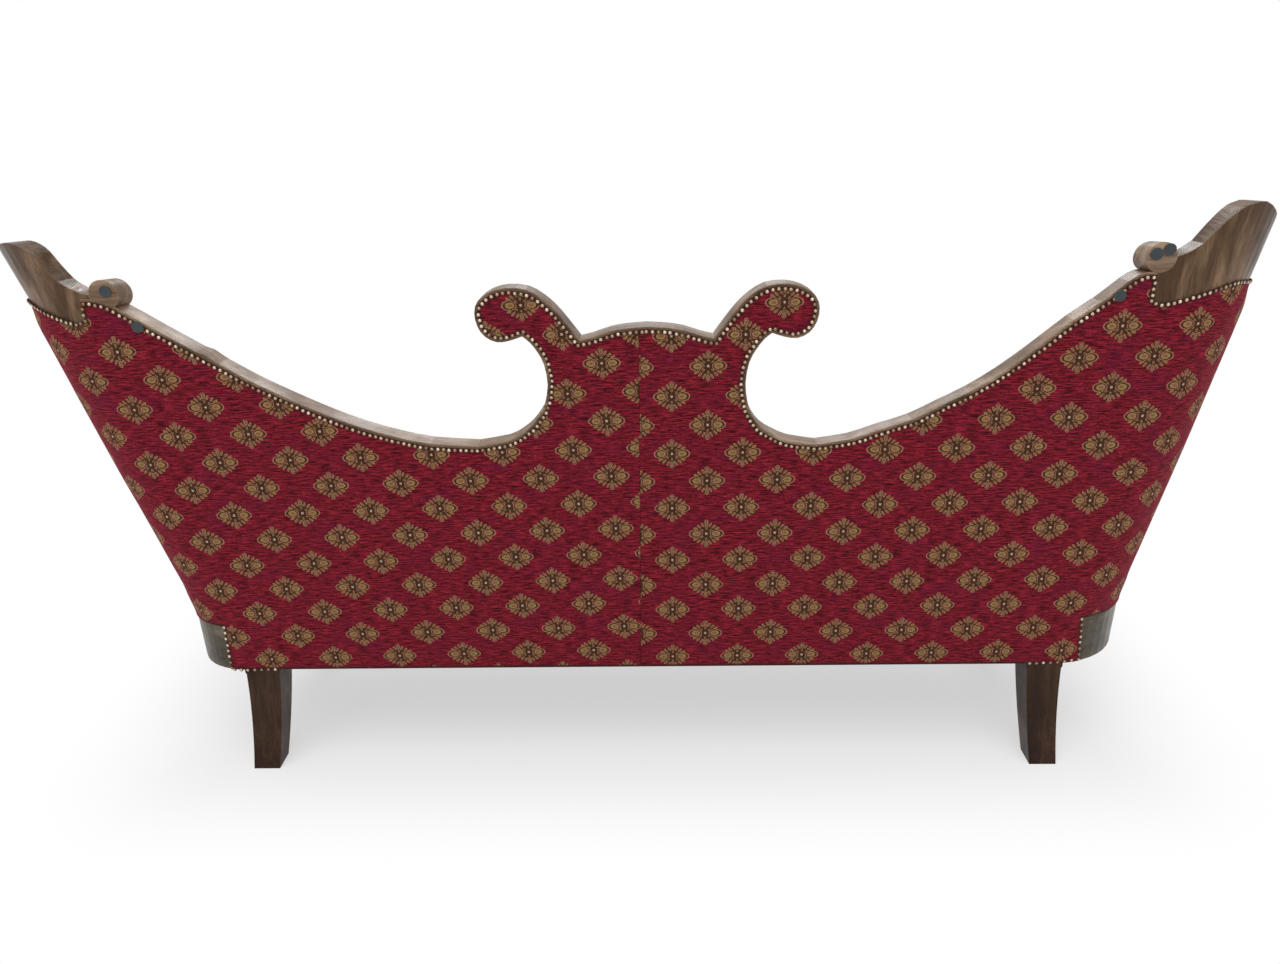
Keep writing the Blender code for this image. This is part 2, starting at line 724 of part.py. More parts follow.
def arm_front_outline(side):
    """The arm front seen from the front: a leaning foot with a round scroll at its head."""
    width = ARM_PAD_DEPTH[1] + PAD_CROWN
    centre = Vector((side_x(side, ARM_SCROLL_Z) - ARM_SCROLL_INSET, ARM_SCROLL_Z))
    foot_z = RAIL_TOP + GAP
    waist_z = ARM_SCROLL_Z - ARM_WAIST_DROP
    head = []
    for turn in ARM_SCROLL_TURNS:
        angle = math.radians(turn)
        head.append(tuple(centre + ARM_SCROLL_RADIUS * Vector((math.cos(angle), math.sin(angle)))))
    outer = [(side_x(side, foot_z), foot_z), (side_x(side, waist_z), waist_z)]
    inner = [(side_x(side, waist_z) - width, waist_z), (side_x(side, foot_z) - width, foot_z)]
    return outer + head + inner


def make_arm_front(side):
    outline = arm_front_outline(side)
    name = "arm_front_" + side["name"]
    mesh = outline_mesh(name, outline, ARM_FRONT_THICKNESS, edge=ARRIS)
    if side["sign"] < 0:
        mesh.transform(Matrix.Scale(-1, 4, Vector((1, 0, 0))))
        mesh.flip_normals()
    shade(mesh)
    add_object(name, mesh, SHOW_WOOD, location=(0, ARM_BACK_Y, 0), rotation=(math.pi / 2, 0, 0))


# Covers


def cover_outline(side):
    """The outside cover: seam, crest, step, wing border, arm, and the top of the seat rail."""
    seam = side["sign"]
    edge = moved_in(crest_edge(side), COVER_INSET)
    lip = edge[-1][1]
    joint = side["joint_x"]
    edge = [point for point in edge if point[0] < joint]
    edge[0] = (seam * SEAM_TOP_X + GAP / 2, edge[0][1])
    low = RAIL_TOP - COVER_LAP
    border = wing_border(side)[:-1] + arm_border(side)
    border = [(run, z - GAP) for run, z in border]
    front = ARM_BACK_Y + GAP
    outline = by_x(side, edge + [(joint, lip), (joint, side["border"][0][1] + STEP_CORNER)])
    outline += border
    outline += by_y(side, [(front, low)])
    outline += by_x(side, side["base_cover"])
    outline.append((seam * SEAM_BOTTOM_X + GAP / 2, LEG_HEIGHT))
    return outline


def make_cover(side):
    name = "outside_cover_" + side["name"]
    shell_piece(name, side, cover_outline(side), (0, COVER_THICKNESS), CHENILLE, winding=True)


# Frame


def make_seat_rails():
    for side in SIDES:
        outline = [(FLAT_RUN + GAP, LEG_HEIGHT), *by_y(side, [(FRONT_Y, LEG_HEIGHT), (FRONT_Y, RAIL_TOP)])]
        outline.append((FLAT_RUN + GAP, RAIL_TOP))
        depth = (WOOD_DEPTH, WOOD_DEPTH + RAIL_THICKNESS)
        shell_piece("seat_rail_" + side["name"], side, outline, depth, SHOW_WOOD)
    back = rectangle(-FLAT_RUN, LEG_HEIGHT, FLAT_RUN, RAIL_TOP)
    shell_piece("seat_rail_back", LEFT, back, (WOOD_DEPTH, WOOD_DEPTH + RAIL_THICKNESS), FRAME_WOOD)
    ends = (RAIL_INSET - base_half(RIGHT), base_half(LEFT) - RAIL_INSET)
    box("seat_rail_front", ends, (FRONT_Y, FRONT_Y + RAIL_THICKNESS), (LEG_HEIGHT, RAIL_TOP), SHOW_WOOD)


def make_posts(side):
    foot = RAIL_TOP + GAP
    depth = (WOOD_DEPTH, WOOD_DEPTH + POST_THICKNESS)
    outline = rectangle(FLAT_RUN, foot, FLAT_RUN + POST_WIDTH, POST_TOP)
    shell_piece("back_post_" + side["name"], side, by_x(side, outline), depth, FRAME_WOOD)
    near, far = (run_turned(turn) for turn in CORNER_POST_TURNS)
    outline = rectangle(near, foot, far, WING_FOOT - GAP)
    shell_piece("corner_post_" + side["name"], side, outline, depth, FRAME_WOOD)
    low, high = TACK_RAIL_Z
    depth = (WOOD_DEPTH, WOOD_DEPTH + TACK_RAIL_THICKNESS)
    front = ARM_BACK_Y + GAP
    outline = [(far + GAP, low), *by_y(side, [(front, low), (front, high)]), (far + GAP, high)]
    shell_piece("arm_tack_rail_" + side["name"], side, outline, depth, FRAME_WOOD)


def make_back_frame():
    low, high = TACK_RAIL_Z
    depth = (WOOD_DEPTH, WOOD_DEPTH + MUNTIN_THICKNESS)
    half = FLAT_RUN - GAP
    outline = rectangle(-half, low, half, high)
    shell_piece("back_tack_rail", LEFT, outline, depth, FRAME_WOOD)
    outline = rectangle(-MUNTIN_WIDTH / 2, high + GAP, MUNTIN_WIDTH / 2, CREST_CENTER_BOTTOM - GAP)
    shell_piece("back_muntin", LEFT, outline, depth, FRAME_WOOD)


def make_brace_and_blocks():
    inner_front = FRONT_Y + RAIL_THICKNESS + GAP
    inner_back = BACK_RAIL_INNER_Y - GAP
    bottom = LEG_HEIGHT + GAP
    brace_x = (-BRACE_WIDTH / 2, BRACE_WIDTH / 2)
    box("seat_brace", brace_x, (inner_front, inner_back), (bottom, bottom + BRACE_HEIGHT), FRAME_WOOD)
    for side in SIDES:
        side_face = base_half(side) - RAIL_INSET
        front = [(side_face, inner_front), (side_face, inner_front + BLOCK_REACH)]
        front.append((side_face - BLOCK_REACH, inner_front))
        corner_y = -side["low_radius"]
        rear = [(FLAT_RUN - BLOCK_REACH, inner_back), (FLAT_RUN, inner_back), (side_face, corner_y)]
        rear.append((side_face, corner_y - BLOCK_REACH))
        for end, outline in (("front", front), ("rear", rear)):
            outline = [(side["sign"] * x, y) for x, y in outline]
            plan_piece(f"corner_block_{end}_{side['name']}", outline, bottom, bottom + BLOCK_HEIGHT, FRAME_WOOD)


def make_leg(side, end, rear):
    """A square leg that tapers and sweeps outwards, with a thin collar under the rail."""
    height = LEG_HEIGHT - GAP
    mesh = bpy.data.meshes.new(f"leg_{end}_{side['name']}")
    bm = bmesh.new()
    bmesh.ops.create_cube(bm, size=1)
    rows = [LEG_COLLAR_HEIGHT, LEG_COLLAR_HEIGHT + LEG_COLLAR]
    rows += [height * (row + 1) / LEG_ROWS for row in range(LEG_ROWS - 1)]
    for row in rows:
        cut_across(bm, 2, 0.5 - row / height)
    for vert in bm.verts:
        down = 0.5 - vert.co.z
        collar = LEG_COLLAR if down * height < LEG_COLLAR_HEIGHT + 1e-4 else 0
        width = LEG_TOP[0] + (LEG_FOOT[0] - LEG_TOP[0]) * down + 2 * collar
        depth = LEG_TOP[1] + (LEG_FOOT[1] - LEG_TOP[1]) * down + collar
        centre = LEG_TOP_X + (LEG_FOOT_X - LEG_TOP_X) * down
        outward = LEG_SWEEP * down**2 - depth * (0.5 - vert.co.y)
        vert.co = (side["sign"] * (centre + width * vert.co.x), outward, height * (1 - down))
    if side["sign"] < 0:
        bmesh.ops.reverse_faces(bm, faces=bm.faces)
    if not rear:
        for vert in bm.verts:
            vert.co.y = -vert.co.y
        bmesh.ops.reverse_faces(bm, faces=bm.faces)
    bm.to_mesh(mesh)
    bm.free()
    face = -WOOD_DEPTH if rear else FRONT_Y + WOOD_DEPTH
    add_object(mesh.name, mesh, SHOW_WOOD, location=(0, face, 0))


# Pads


def back_pad_outline():
    """The pad inside the back, in run and height, from one side's pad seam to the other's."""
    halves = []
    for side in SIDES:
        edge = moved_in(ARCH[:-1] + side["neck"][3:-1] + side["swoop"], BACK_PAD_BORDER)
        edge = [point for point in edge if point[0] < side["joint_x"] - PAD_CLEARANCE]
        edge[0] = (0, edge[0][1])
        seam_run = run_turned(PAD_SEAM_TURN)
        half = by_x(side, [*edge, (side["joint_x"] - PAD_CLEARANCE, POST_TOP)])
        half.append((seam_run - PAD_CLEARANCE, PAD_BOTTOM))
        halves.append([(side["sign"] * run, z) for run, z in half])
    return halves[0] + list(reversed(halves[1]))[:-1]


def make_pads():
    place_left = shell_place(LEFT)
    place_right = shell_place(RIGHT)
    outline = back_pad_outline()
    thickness = BACK_PAD_DEPTH[1] - BACK_PAD_DEPTH[0]
    steps = math.ceil(math.radians(PAD_SEAM_TURN) / CORNER_STEP)
    lines = [-(CORNER_RUN + CORNER_RUN_RADIUS * CORNER_STEP * step) for step in range(steps)]
    lines += [-FLAT_RUN, -CREST_JOINT_X, -CREST_TAPER_X, CREST_TAPER_X, CREST_JOINT_X]
    mesh = outline_mesh(
        "inside_back_pad", outline, thickness, edge=PAD_EDGE, top_only=True, grid=PAD_GRID, crown=PAD_CROWN,
        wrap=True, lines=lines,
    )
    bm = bmesh.new()
    bm.from_mesh(mesh)
    for vert in bm.verts:
        run, z = vert.co.x, vert.co.y
        side = LEFT if run >= 0 else RIGHT
        depth = BACK_PAD_DEPTH[0] - BOARD_THICKNESS + board_at(side, abs(run)) + vert.co.z
        vert.co = place_left(run, z, depth) if run >= 0 else place_right(-run, z, depth)
    bmesh.ops.triangulate(bm, faces=bm.faces)
    bmesh.ops.recalc_face_normals(bm, faces=bm.faces)
    bm.to_mesh(mesh)
    bm.free()
    shade(mesh, 60)
    add_object("inside_back_pad", mesh, CHENILLE)
    for side in SIDES:
        seam_run = run_turned(PAD_SEAM_TURN)
        start = side["joint_x"] + PAD_CLEARANCE
        top = by_x(side, [(start, side["border"][0][1]), *side["border"][1:]])
        top += by_turn([*side["border_tip"], (WING_JOINT_TURN, BORDER_JOINT_Z)])
        top += by_y(side, [*ARM_BORDER, (ARM_BACK_Y + GAP, ARM_BORDER_FRONT)])
        outline = top + by_y(side, [(ARM_BACK_Y + GAP, PAD_BOTTOM)]) + [(seam_run + PAD_CLEARANCE, PAD_BOTTOM)]
        outline += by_x(side, [(start, POST_TOP)])
        shell_piece(
            "inside_arm_pad_" + side["name"], side, outline, ARM_PAD_DEPTH, CHENILLE, edge=PAD_EDGE, top_only=True,
            grid=PAD_GRID, crown=PAD_CROWN,
        )


def make_seat_pad():
    rear = back_y(SEAT_BOTTOM) - BACK_PAD_DEPTH[1] - PAD_CROWN - SEAT_CLEARANCE
    ends = []
    for side in SIDES:
        half = base_half(side) - ARM_PAD_DEPTH[1] - PAD_CROWN - SEAT_CLEARANCE
        corner = []
        for step in range(SEAT_CORNER_STEPS + 1):
            angle = math.radians(90 * step / SEAT_CORNER_STEPS)
            corner.append((half - SEAT_CORNER * (1 - math.sin(angle)), rear - SEAT_CORNER * (1 - math.cos(angle))))
        ends.append([(half, FRONT_Y + GAP), *reversed(corner)])
    outline = ends[0] + [(-x, y) for x, y in reversed(ends[1])]
    plan_piece(
        "seat_pad", outline, SEAT_BOTTOM, SEAT_TOP, CHENILLE, edge=SEAT_EDGE, segments=2, top_only=True,
        grid=PAD_GRID, crown=SEAT_CROWN,
    )


# Suspension


def make_webbing():
    front, back = FRONT_Y + WEB_EDGE, -WEB_EDGE
    strips = []
    for i, x in enumerate(SPRING_X):
        sides = (x - WEB_WIDTH / 2, x + WEB_WIDTH / 2)
        strips.append(box(f"web_{i}", sides, (front, back), (WEB_TOP - WEB_THICKNESS, WEB_TOP), JUTE))
    middle = WEB_TOP - WEB_THICKNESS / 2
    for i, y in enumerate(SPRING_Y):
        levels = (middle - CROSS_WEB_THICKNESS / 2, middle + CROSS_WEB_THICKNESS / 2)
        sides = (y - WEB_WIDTH / 2, y + WEB_WIDTH / 2)
        strips.append(box(f"cross_web_{i}", (-CLOTH_HALF, CLOTH_HALF), sides, levels, JUTE))
    webbing = strips.pop()
    webbing.name = "seat_webbing"
    for strip in strips:
        SOFA.objects.unlink(strip)
        CUTTERS.objects.link(strip)
        strip.hide_render = True
        strip.display_type = "WIRE"
        join = webbing.modifiers.new(strip.name, "BOOLEAN")
        join.operation = "UNION"
        join.object = strip


def make_spring(name, x, y):
    bottom = WEB_TOP + GAP + SPRING_WIRE
    top = RAIL_TOP - SPRING_WIRE
    count = SPRING_TURNS * SPRING_POINTS
    curve = bpy.data.curves.new(name, "CURVE")
    curve.dimensions = "3D"
    curve.bevel_depth = SPRING_WIRE
    curve.bevel_resolution = 0
    curve.use_fill_caps = True
    spline = curve.splines.new("POLY")
    spline.points.add(count)
    for i, point in enumerate(spline.points):
        share = i / count
        angle = 2 * math.pi * SPRING_TURNS * share
        radius = SPRING_WAIST + (SPRING_RADIUS - SPRING_WAIST) * (2 * share - 1) ** 2
        height = bottom + (top - bottom) * share
        point.co = (radius * math.cos(angle), radius * math.sin(angle), height, 1)
    add_object(name, curve, SPRING_STEEL, location=(x, y, 0))


def make_suspension():
    make_webbing()
    for row, y in enumerate(SPRING_Y):
        for column, x in enumerate(SPRING_X):
            make_spring(f"seat_spring_{row + 1}_{column + 1}", x, y)
    front, back = FRONT_Y + WEB_EDGE, -WEB_EDGE
    canvas = rectangle(-CANVAS_HALF, front, CANVAS_HALF, back)
    plan_piece("spring_canvas", canvas, CANVAS_Z, CANVAS_Z + CANVAS_THICKNESS, JUTE)
    right = [(CLOTH_NOTCH_X, back), (CLOTH_NOTCH_X, -CLOTH_NOTCH), (CLOTH_HALF, -CLOTH_NOTCH)]
    right += [(CLOTH_HALF, FRONT_Y + CLOTH_NOTCH), (CLOTH_NOTCH_X, FRONT_Y + CLOTH_NOTCH), (CLOTH_NOTCH_X, front)]
    outline = right + [(-x, y) for x, y in reversed(right)]
    top = WEB_TOP - WEB_THICKNESS - GAP
    plan_piece("bottom_cloth", outline, top - CLOTH_THICKNESS, top, DARK_CLOTH)


def make_felt_pads():
    count = 0
    for side in SIDES:
        for base, x, z in side["felt"]:
            count += 1
            outer = WOOD_DEPTH if base == "roll" else 0
            depth = outer - GAP - FELT_THICKNESS
            disc(f"felt_pad_{count}", FELT_RADIUS, FELT_THICKNESS, 20, FELT, side["sign"] * x, z, depth)


def centre_on_origin():
    """Moves the root so that the middle of the sofa's box stands on the origin."""
    bpy.context.view_layer.update()
    graph = bpy.context.evaluated_depsgraph_get()
    corners = []
    for piece in SOFA.objects:
        if piece.type != "EMPTY":
            solid = piece.evaluated_get(graph)
            mesh = solid.to_mesh()
            corners += [solid.matrix_world @ vert.co for vert in mesh.vertices]
            solid.to_mesh_clear()
    low = Vector(min(corner[axis] for corner in corners) for axis in range(3))
    high = Vector(max(corner[axis] for corner in corners) for axis in range(3))
    ROOT.location = (-(low.x + high.x) / 2, -(low.y + high.y) / 2, -low.z)


def main():
    make_crest_center()
    for side in SIDES:
        make_roll(side, [make_crest_side(side), make_wing(side)])
        make_arm_rail(side)
        make_arm_front(side)
        make_cover(side)
        make_posts(side)
        make_leg(side, "rear", True)
        make_leg(side, "front", False)
    make_seat_rails()
    make_back_frame()
    make_brace_and_blocks()
    make_pads()
    make_seat_pad()
    make_suspension()
    make_felt_pads()
    centre_on_origin()


main()
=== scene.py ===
"""The looks of the double-scroll settee, in metres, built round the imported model.

The outer shell is drawn flat: u is the distance round the shell from the middle of the back, and z the height
above the floor. The fabric, its nails and the pattern's own map all use these two.
"""

import math
import random

import bmesh
import bpy
import numpy as np
from mathutils import Matrix, Vector, geometry, noise


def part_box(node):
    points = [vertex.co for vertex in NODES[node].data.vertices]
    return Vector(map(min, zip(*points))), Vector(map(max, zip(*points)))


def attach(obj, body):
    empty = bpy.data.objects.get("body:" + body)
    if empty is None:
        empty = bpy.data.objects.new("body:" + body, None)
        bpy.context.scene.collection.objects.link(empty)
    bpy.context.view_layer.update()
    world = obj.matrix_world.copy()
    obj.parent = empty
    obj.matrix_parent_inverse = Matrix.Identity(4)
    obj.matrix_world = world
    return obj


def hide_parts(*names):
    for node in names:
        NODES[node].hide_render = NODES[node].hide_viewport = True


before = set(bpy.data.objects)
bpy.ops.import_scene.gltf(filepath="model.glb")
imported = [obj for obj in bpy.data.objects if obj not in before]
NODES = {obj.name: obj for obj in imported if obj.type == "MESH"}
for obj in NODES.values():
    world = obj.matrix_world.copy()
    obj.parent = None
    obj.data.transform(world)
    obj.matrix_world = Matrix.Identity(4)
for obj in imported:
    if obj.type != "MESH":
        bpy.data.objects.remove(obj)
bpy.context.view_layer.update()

# Sizes of the shell, as in the part
LEG_HEIGHT = 0.206
RAIL_TOP = 0.311
HALF_LENGTH = 0.936
BASE_SHIFT = 0.016
FRONT_Y = -0.60
BACK_RAKE = math.radians(4)
HIGH_RADIUS = 0.18
HIGH_RADIUS_Z = 0.92
LEAN_START = 0.06
WOOD_DEPTH = 0.0028
COVER_INSET = 0.005
COVER_LAP = 0.006
SEAM_TOP_X = 0.009
SEAM_BOTTOM_X = 0.018
WING_JOINT_TURN = 74
BORDER_JOINT_Z = 0.93
STEP_CORNER = 0.006
CREST_SHIFT = -0.004
ARM_BACK_Y = -0.5547
ARM_SCROLL_Z = 0.625
ARM_SCROLL_INSET = 0.02
SEAT_TOP = 0.44

# Upper edge of the crest from its middle: distance from the middle and height
ARCH = ((0.0, 0.889), (0.032, 0.887), (0.062, 0.882), (0.092, 0.872), (0.1135, 0.867))
SCROLL = (
    (0.1135, 0.867), (0.1335, 0.895), (0.1535, 0.9205), (0.1745, 0.940), (0.1995, 0.9545), (0.2325, 0.958),
    (0.2605, 0.9515), (0.281, 0.937), (0.2885, 0.917), (0.2855, 0.894), (0.274, 0.8755), (0.254, 0.8655),
    (0.232, 0.868), (0.211, 0.875),
)
LEFT = {
    "name": "left",
    "sign": 1,
    "lean": 0.3235,
    "low_radius": 0.117,
    "neck": (
        (0.211, 0.875), (0.1985, 0.864), (0.1865, 0.847), (0.1765, 0.824), (0.1725, 0.788), (0.1795, 0.754),
        (0.1905, 0.733), (0.206, 0.713), (0.2245, 0.698), (0.250, 0.685), (0.30, 0.676),
    ),
    "swoop": (
        (0.30, 0.676), (0.383, 0.682), (0.444, 0.696), (0.504, 0.715), (0.563, 0.740), (0.621, 0.769),
        (0.678, 0.7995), (0.733, 0.8345), (0.804, 0.880), (0.874, 0.926), (0.900, 0.942), (0.922, 0.949),
        (0.945, 0.951),
    ),
    "joint_x": 0.945,
    "border": ((0.960, 0.908), (1.000, 0.917), (1.035, 0.928), (1.068, 0.937)),
    "border_tip": ((66, 0.935),),
    "base_cover": ((0.828, 0.305), (0.831, 0.206)),
    "foot_nails": ((0.741, 0.2072), (0.823, 0.2072)),
    "pattern": {"origin": (0.3015, 0.0890), "across": (0.1268, -0.0032), "up": (0.0050, 0.1054)},
}
RIGHT = {
    "name": "right",
    "sign": -1,
    "lean": 0.195,
    "low_radius": 0.171,
    "neck": (
        (0.211, 0.875), (0.198, 0.864), (0.1855, 0.847), (0.1740, 0.824), (0.1685, 0.788), (0.1725, 0.754),
        (0.1815, 0.727), (0.198, 0.705), (0.220, 0.691), (0.248, 0.679), (0.30, 0.672),
    ),
    "swoop": (
        (0.30, 0.672), (0.359, 0.681), (0.411, 0.699), (0.463, 0.716), (0.513, 0.742), (0.562, 0.768),
        (0.610, 0.8005), (0.657, 0.8385), (0.716, 0.890), (0.756, 0.919), (0.795, 0.953), (0.816, 0.966),
        (0.838, 0.968),
    ),
    "joint_x": 0.838,
    "border": ((0.856, 0.914), (0.900, 0.925), (0.950, 0.939), (0.990, 0.945), (1.031, 0.940)),
    "border_tip": ((66, 0.935),),
    "base_cover": ((0.828, 0.305), (0.838, 0.206)),
    "foot_nails": ((0.737, 0.2082), (0.800, 0.2105), (0.828, 0.2135)),
    "pattern": {"origin": (-0.3577, 0.0809), "across": (0.1251, -0.0011), "up": (-0.0002, 0.1072)},
}
SIDES = (LEFT, RIGHT)
ARM_BORDER = ((-0.17, 0.885), (-0.26, 0.804), (-0.36, 0.718), (-0.46, 0.655))
ARM_BORDER_FRONT = 0.615

# Fabric: the repeat of the pattern, and how the cover lies
REPEAT = 0.125
REPEAT_RATIO = 0.868
COVER_STEP = 0.014
COVER_RINGS = (0.0008, 0.0022, 0.006, 0.012, 0.020, 0.031)
COVER_PUFF = 0.0022
CORNER_PUFF = 0.004
RIM_SHADE = 0.012
EDGE_STEP = 0.006
RIM_CURL = 0.0025
SEAM_CURL = 0.0022
SEAM_DIP = 0.0016
SWELL_START = 0.008
SWELL_REACH = 0.04
COVER_WAVE = 0.0009
CORNER_REACH = 0.1
CORNER_RISE = 0.3

# Seat pad: how far its sides reach out to the arm pads
SEAT_SIDE_REACH = 0.10
SEAT_SIDE_EXTRA = 0.003
SEAT_SIDE_FILL = 0.015
SEAT_SIDE_START = 0.02

# Cloth runs
CLOTH_QUALITY = 5
CLOTH_FRAMES = 20
SMOOTH_SHARE = 0.5
SMOOTH_ROUNDS = 6

# Nails
NAIL_PITCH = 0.0101
NAIL_RADIUS = 0.0039
NAIL_HEIGHT = 0.0030
NAIL_INSET = 0.0030
BORDER_NAIL_INSET = 0.0020
BASE_NAIL_PITCH = 0.0136
NAIL_DEPTH = 0.0003
NAIL_SEGMENTS = 12
NAIL_RINGS = 4
NAIL_TIP = 0.09
NAIL_JITTER = 0.0006

# One quarter of a rosette in millimetres: each petal's centre, lean in degrees, half length and half width
PETALS = (
    ((17.8, 0), 0, (9.6, 6.8)),
    ((19.8, 10.8), 28, (5.2, 2.9)),
    ((13.4, 14.6), 47, (5.8, 2.7)),
    ((6.8, 18.4), 69, (5.8, 2.4)),
    ((0, 20.8), 90, (6.4, 3.6)),
    ((7.8, 7.6), 45, (3.6, 1.7)),
    ((0, 10.4), 90, (3.2, 1.8)),
)
SIDE_ARCH = ((19.3, 0), 0, (12.8, 8.6))
TOP_ARCH = ((0, 20.6), 0, (4.8, 7.8))
ROSETTE_REACH = (26.0, 23.0)
ROSETTE_RING = 7.2
ROSETTE_DOT = 2.3

# Dark, middle and light colour of each wood, and the sheen they share
WOOD_SPECULAR = 0.14
# The crest's colours are its own warmer tan, and are also painted lighter for the light on its top faces
CREST_COLOURS_WITH_PAINTED_LIGHT = (0.075, 0.036, 0.019), (0.22, 0.138, 0.088), (0.46, 0.325, 0.22)
WING_COLOURS = (0.030, 0.013, 0.006), (0.095, 0.050, 0.025), (0.25, 0.155, 0.090)
ARM_COLOURS = (0.030, 0.013, 0.006), (0.080, 0.042, 0.021), (0.19, 0.11, 0.060)
LEG_COLOURS = (0.014, 0.006, 0.003), (0.034, 0.015, 0.008), (0.085, 0.045, 0.024)
BASE_COLOURS = (0.045, 0.034, 0.022), (0.095, 0.075, 0.052), (0.21, 0.17, 0.125)
BEECH_COLOURS = (0.34, 0.21, 0.11), (0.46, 0.31, 0.17), (0.56, 0.40, 0.24)

# Light and stage
KEY_ENERGY = 1.35
KEY_ANGLE = math.radians(75)
KEY_TURN = (math.radians(-32), math.radians(8), 0)
FILL_ENERGY = 0.8
FILL_ANGLE = math.radians(16)
FILL_TURN = (math.radians(58), 0, 0)
WORLD_LEVEL = 0.55
FLOOR_SIZE = 80
FLOOR_GREY = (0.93, 0.93, 0.93)
SHADOW_REACH = 0.33
SHADOW_GLOW = 0.52

# Where the middle of the back's foot stands in the row frame
brace_low, brace_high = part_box("seat_brace")
front_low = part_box("seat_rail_front")[0]
ORIGIN = Vector(((brace_low.x + brace_high.x) / 2, front_low.y - FRONT_Y, 0))

# Camera, measured from the same point
CAMERA_PLACE = (-0.0251, 1.7104, 1.2329)
CAMERA_PITCH = 0.3576
CAMERA_YAW = -0.0224
CAMERA_ROLL = 0.0194
CAMERA_LENS = 28.125
CAMERA_SENSOR = 36.0


# The shell


def back_y(z):
    return (z - LEG_HEIGHT) * math.tan(BACK_RAKE)


def corner_radius(side, z):
    share = min(max((z - RAIL_TOP) / (HIGH_RADIUS_Z - RAIL_TOP), 0), 1)
    return side["low_radius"] + share * (HIGH_RADIUS - side["low_radius"])


def side_x(side, z):
    height = z - RAIL_TOP
    out = side["lean"] * max(height - LEAN_START / 2, height / 2, 0)
    return HALF_LENGTH - side["sign"] * BASE_SHIFT + out


def flat_x(side, z):
    return side_x(side, z) - corner_radius(side, z)


def u_at_x(side, x, z):
    flat = flat_x(side, z)
    radius = corner_radius(side, z)
    return x if x <= flat else flat + radius * math.asin(min((x - flat) / radius, 1))


def u_at_turn(side, degrees, z):
    return flat_x(side, z) + corner_radius(side, z) * math.radians(degrees)


def u_at_y(side, y, z):
    return u_at_turn(side, 90, z) + back_y(z) - corner_radius(side, z) - y


def by_x(side, points):
    return [(u_at_x(side, x, z), z) for x, z in points]


def by_turn(side, points):
    return [(u_at_turn(side, turn, z), z) for turn, z in points]


def by_y(side, points):
    return [(u_at_y(side, y, z), z) for y, z in points]


def place(side, u, z, depth):
    """The point at u and z, a depth under the shell's surface."""
    flat = flat_x(side, z)
    radius = corner_radius(side, z)
    angle = (u - flat) / radius
    if angle <= 0:
        x, y = u, back_y(z) - depth
    elif angle < math.pi / 2:
        x = flat + (radius - depth) * math.sin(angle)
        y = back_y(z) - radius + (radius - depth) * math.cos(angle)
    else:
        x = side_x(side, z) - depth
        y = back_y(z) - radius - (u - flat - radius * math.pi / 2)
    return Vector((side["sign"] * x, y, z)) + ORIGIN


def outward(side, u, z):
    """The shell's normal at u and z."""
    small = 0.002
    along = place(side, u + small, z, 0) - place(side, u - small, z, 0)
    upward = place(side, u, z + small, 0) - place(side, u, z - small, 0)
    normal = along.cross(upward) * side["sign"]
    return -normal.normalized()


def shell_uv(point):
    """The signed u and the height along the back of any point near the shell."""
    local = point - ORIGIN
    side = LEFT if local.x >= 0 else RIGHT
    flat = flat_x(side, local.z)
    radius = corner_radius(side, local.z)
    x = abs(local.x)
    centre_y = back_y(local.z) - radius
    if x <= flat:
        u = x
    elif local.y >= centre_y:
        u = flat + radius * math.atan2(x - flat, local.y - centre_y)
    else:
        u = flat + radius * math.pi / 2 + centre_y - local.y
    return side["sign"] * u, (local.z - LEG_HEIGHT) / math.cos(BACK_RAKE)


# Outlines


def smooth(points, steps=6):
    """A Catmull-Rom line through the points, with its ends kept."""
    line = []
    last = len(points) - 1
    for i in range(last):
        p0, p1, p2, p3 = (Vector(points[j]) for j in (max(i - 1, 0), i, i + 1, min(i + 2, last)))
        for k in range(steps):
            t = k / steps
            bend = 2 * p1 + (p2 - p0) * t + (2 * p0 - 5 * p1 + 4 * p2 - p3) * t**2
            bend += (3 * p1 - p0 - 3 * p2 + p3) * t**3
            line.append(tuple(bend / 2))
    line.append(tuple(points[-1]))
    return line


def moved_in(points, distance):
    """An open line moved to its right by a distance, each corner along its bisector."""
    moved = []
    for i, point in enumerate(points):
        before = Vector(points[max(i - 1, 0)])
        here = Vector(point)
        after = Vector(points[min(i + 1, len(points) - 1)])
        first = (here - before) if i else (after - here)
        second = (after - here) if i < len(points) - 1 else first
        normals = [Vector((edge.y, -edge.x)).normalized() for edge in (first, second)]
        middle = (normals[0] + normals[1]).normalized()
        reach = distance / max(middle.dot(normals[0]), 0.5)
        moved.append(tuple(here + middle * reach))
    return moved


def without_loops(line, distance, source):
    """Drops the points of a moved line that came nearer to its source than they should."""
    kept = []
    for point in line:
        if distance_to_line(point, source) > 0.93 * distance:
            kept.append(point)
    return kept


def distance_to_line(point, line):
    point = Vector(point)
    nearest = 1.0
    for start, end in zip(line, line[1:]):
        start, end = Vector(start), Vector(end)
        along = end - start
        share = (point - start).dot(along) / max(along.length_squared, 1e-12)
        nearest = min(nearest, (start + along * min(max(share, 0), 1) - point).length)
    return nearest


def crest_edge(side):
    shift = side["sign"] * CREST_SHIFT
    arch, scroll, neck = ([(x + shift, z) for x, z in points] for points in (ARCH, SCROLL, side["neck"]))
    neck[-1] = side["swoop"][0]
    return smooth(arch)[:-1] + smooth(scroll)[:-1] + smooth(neck)[:-1] + smooth(side["swoop"])


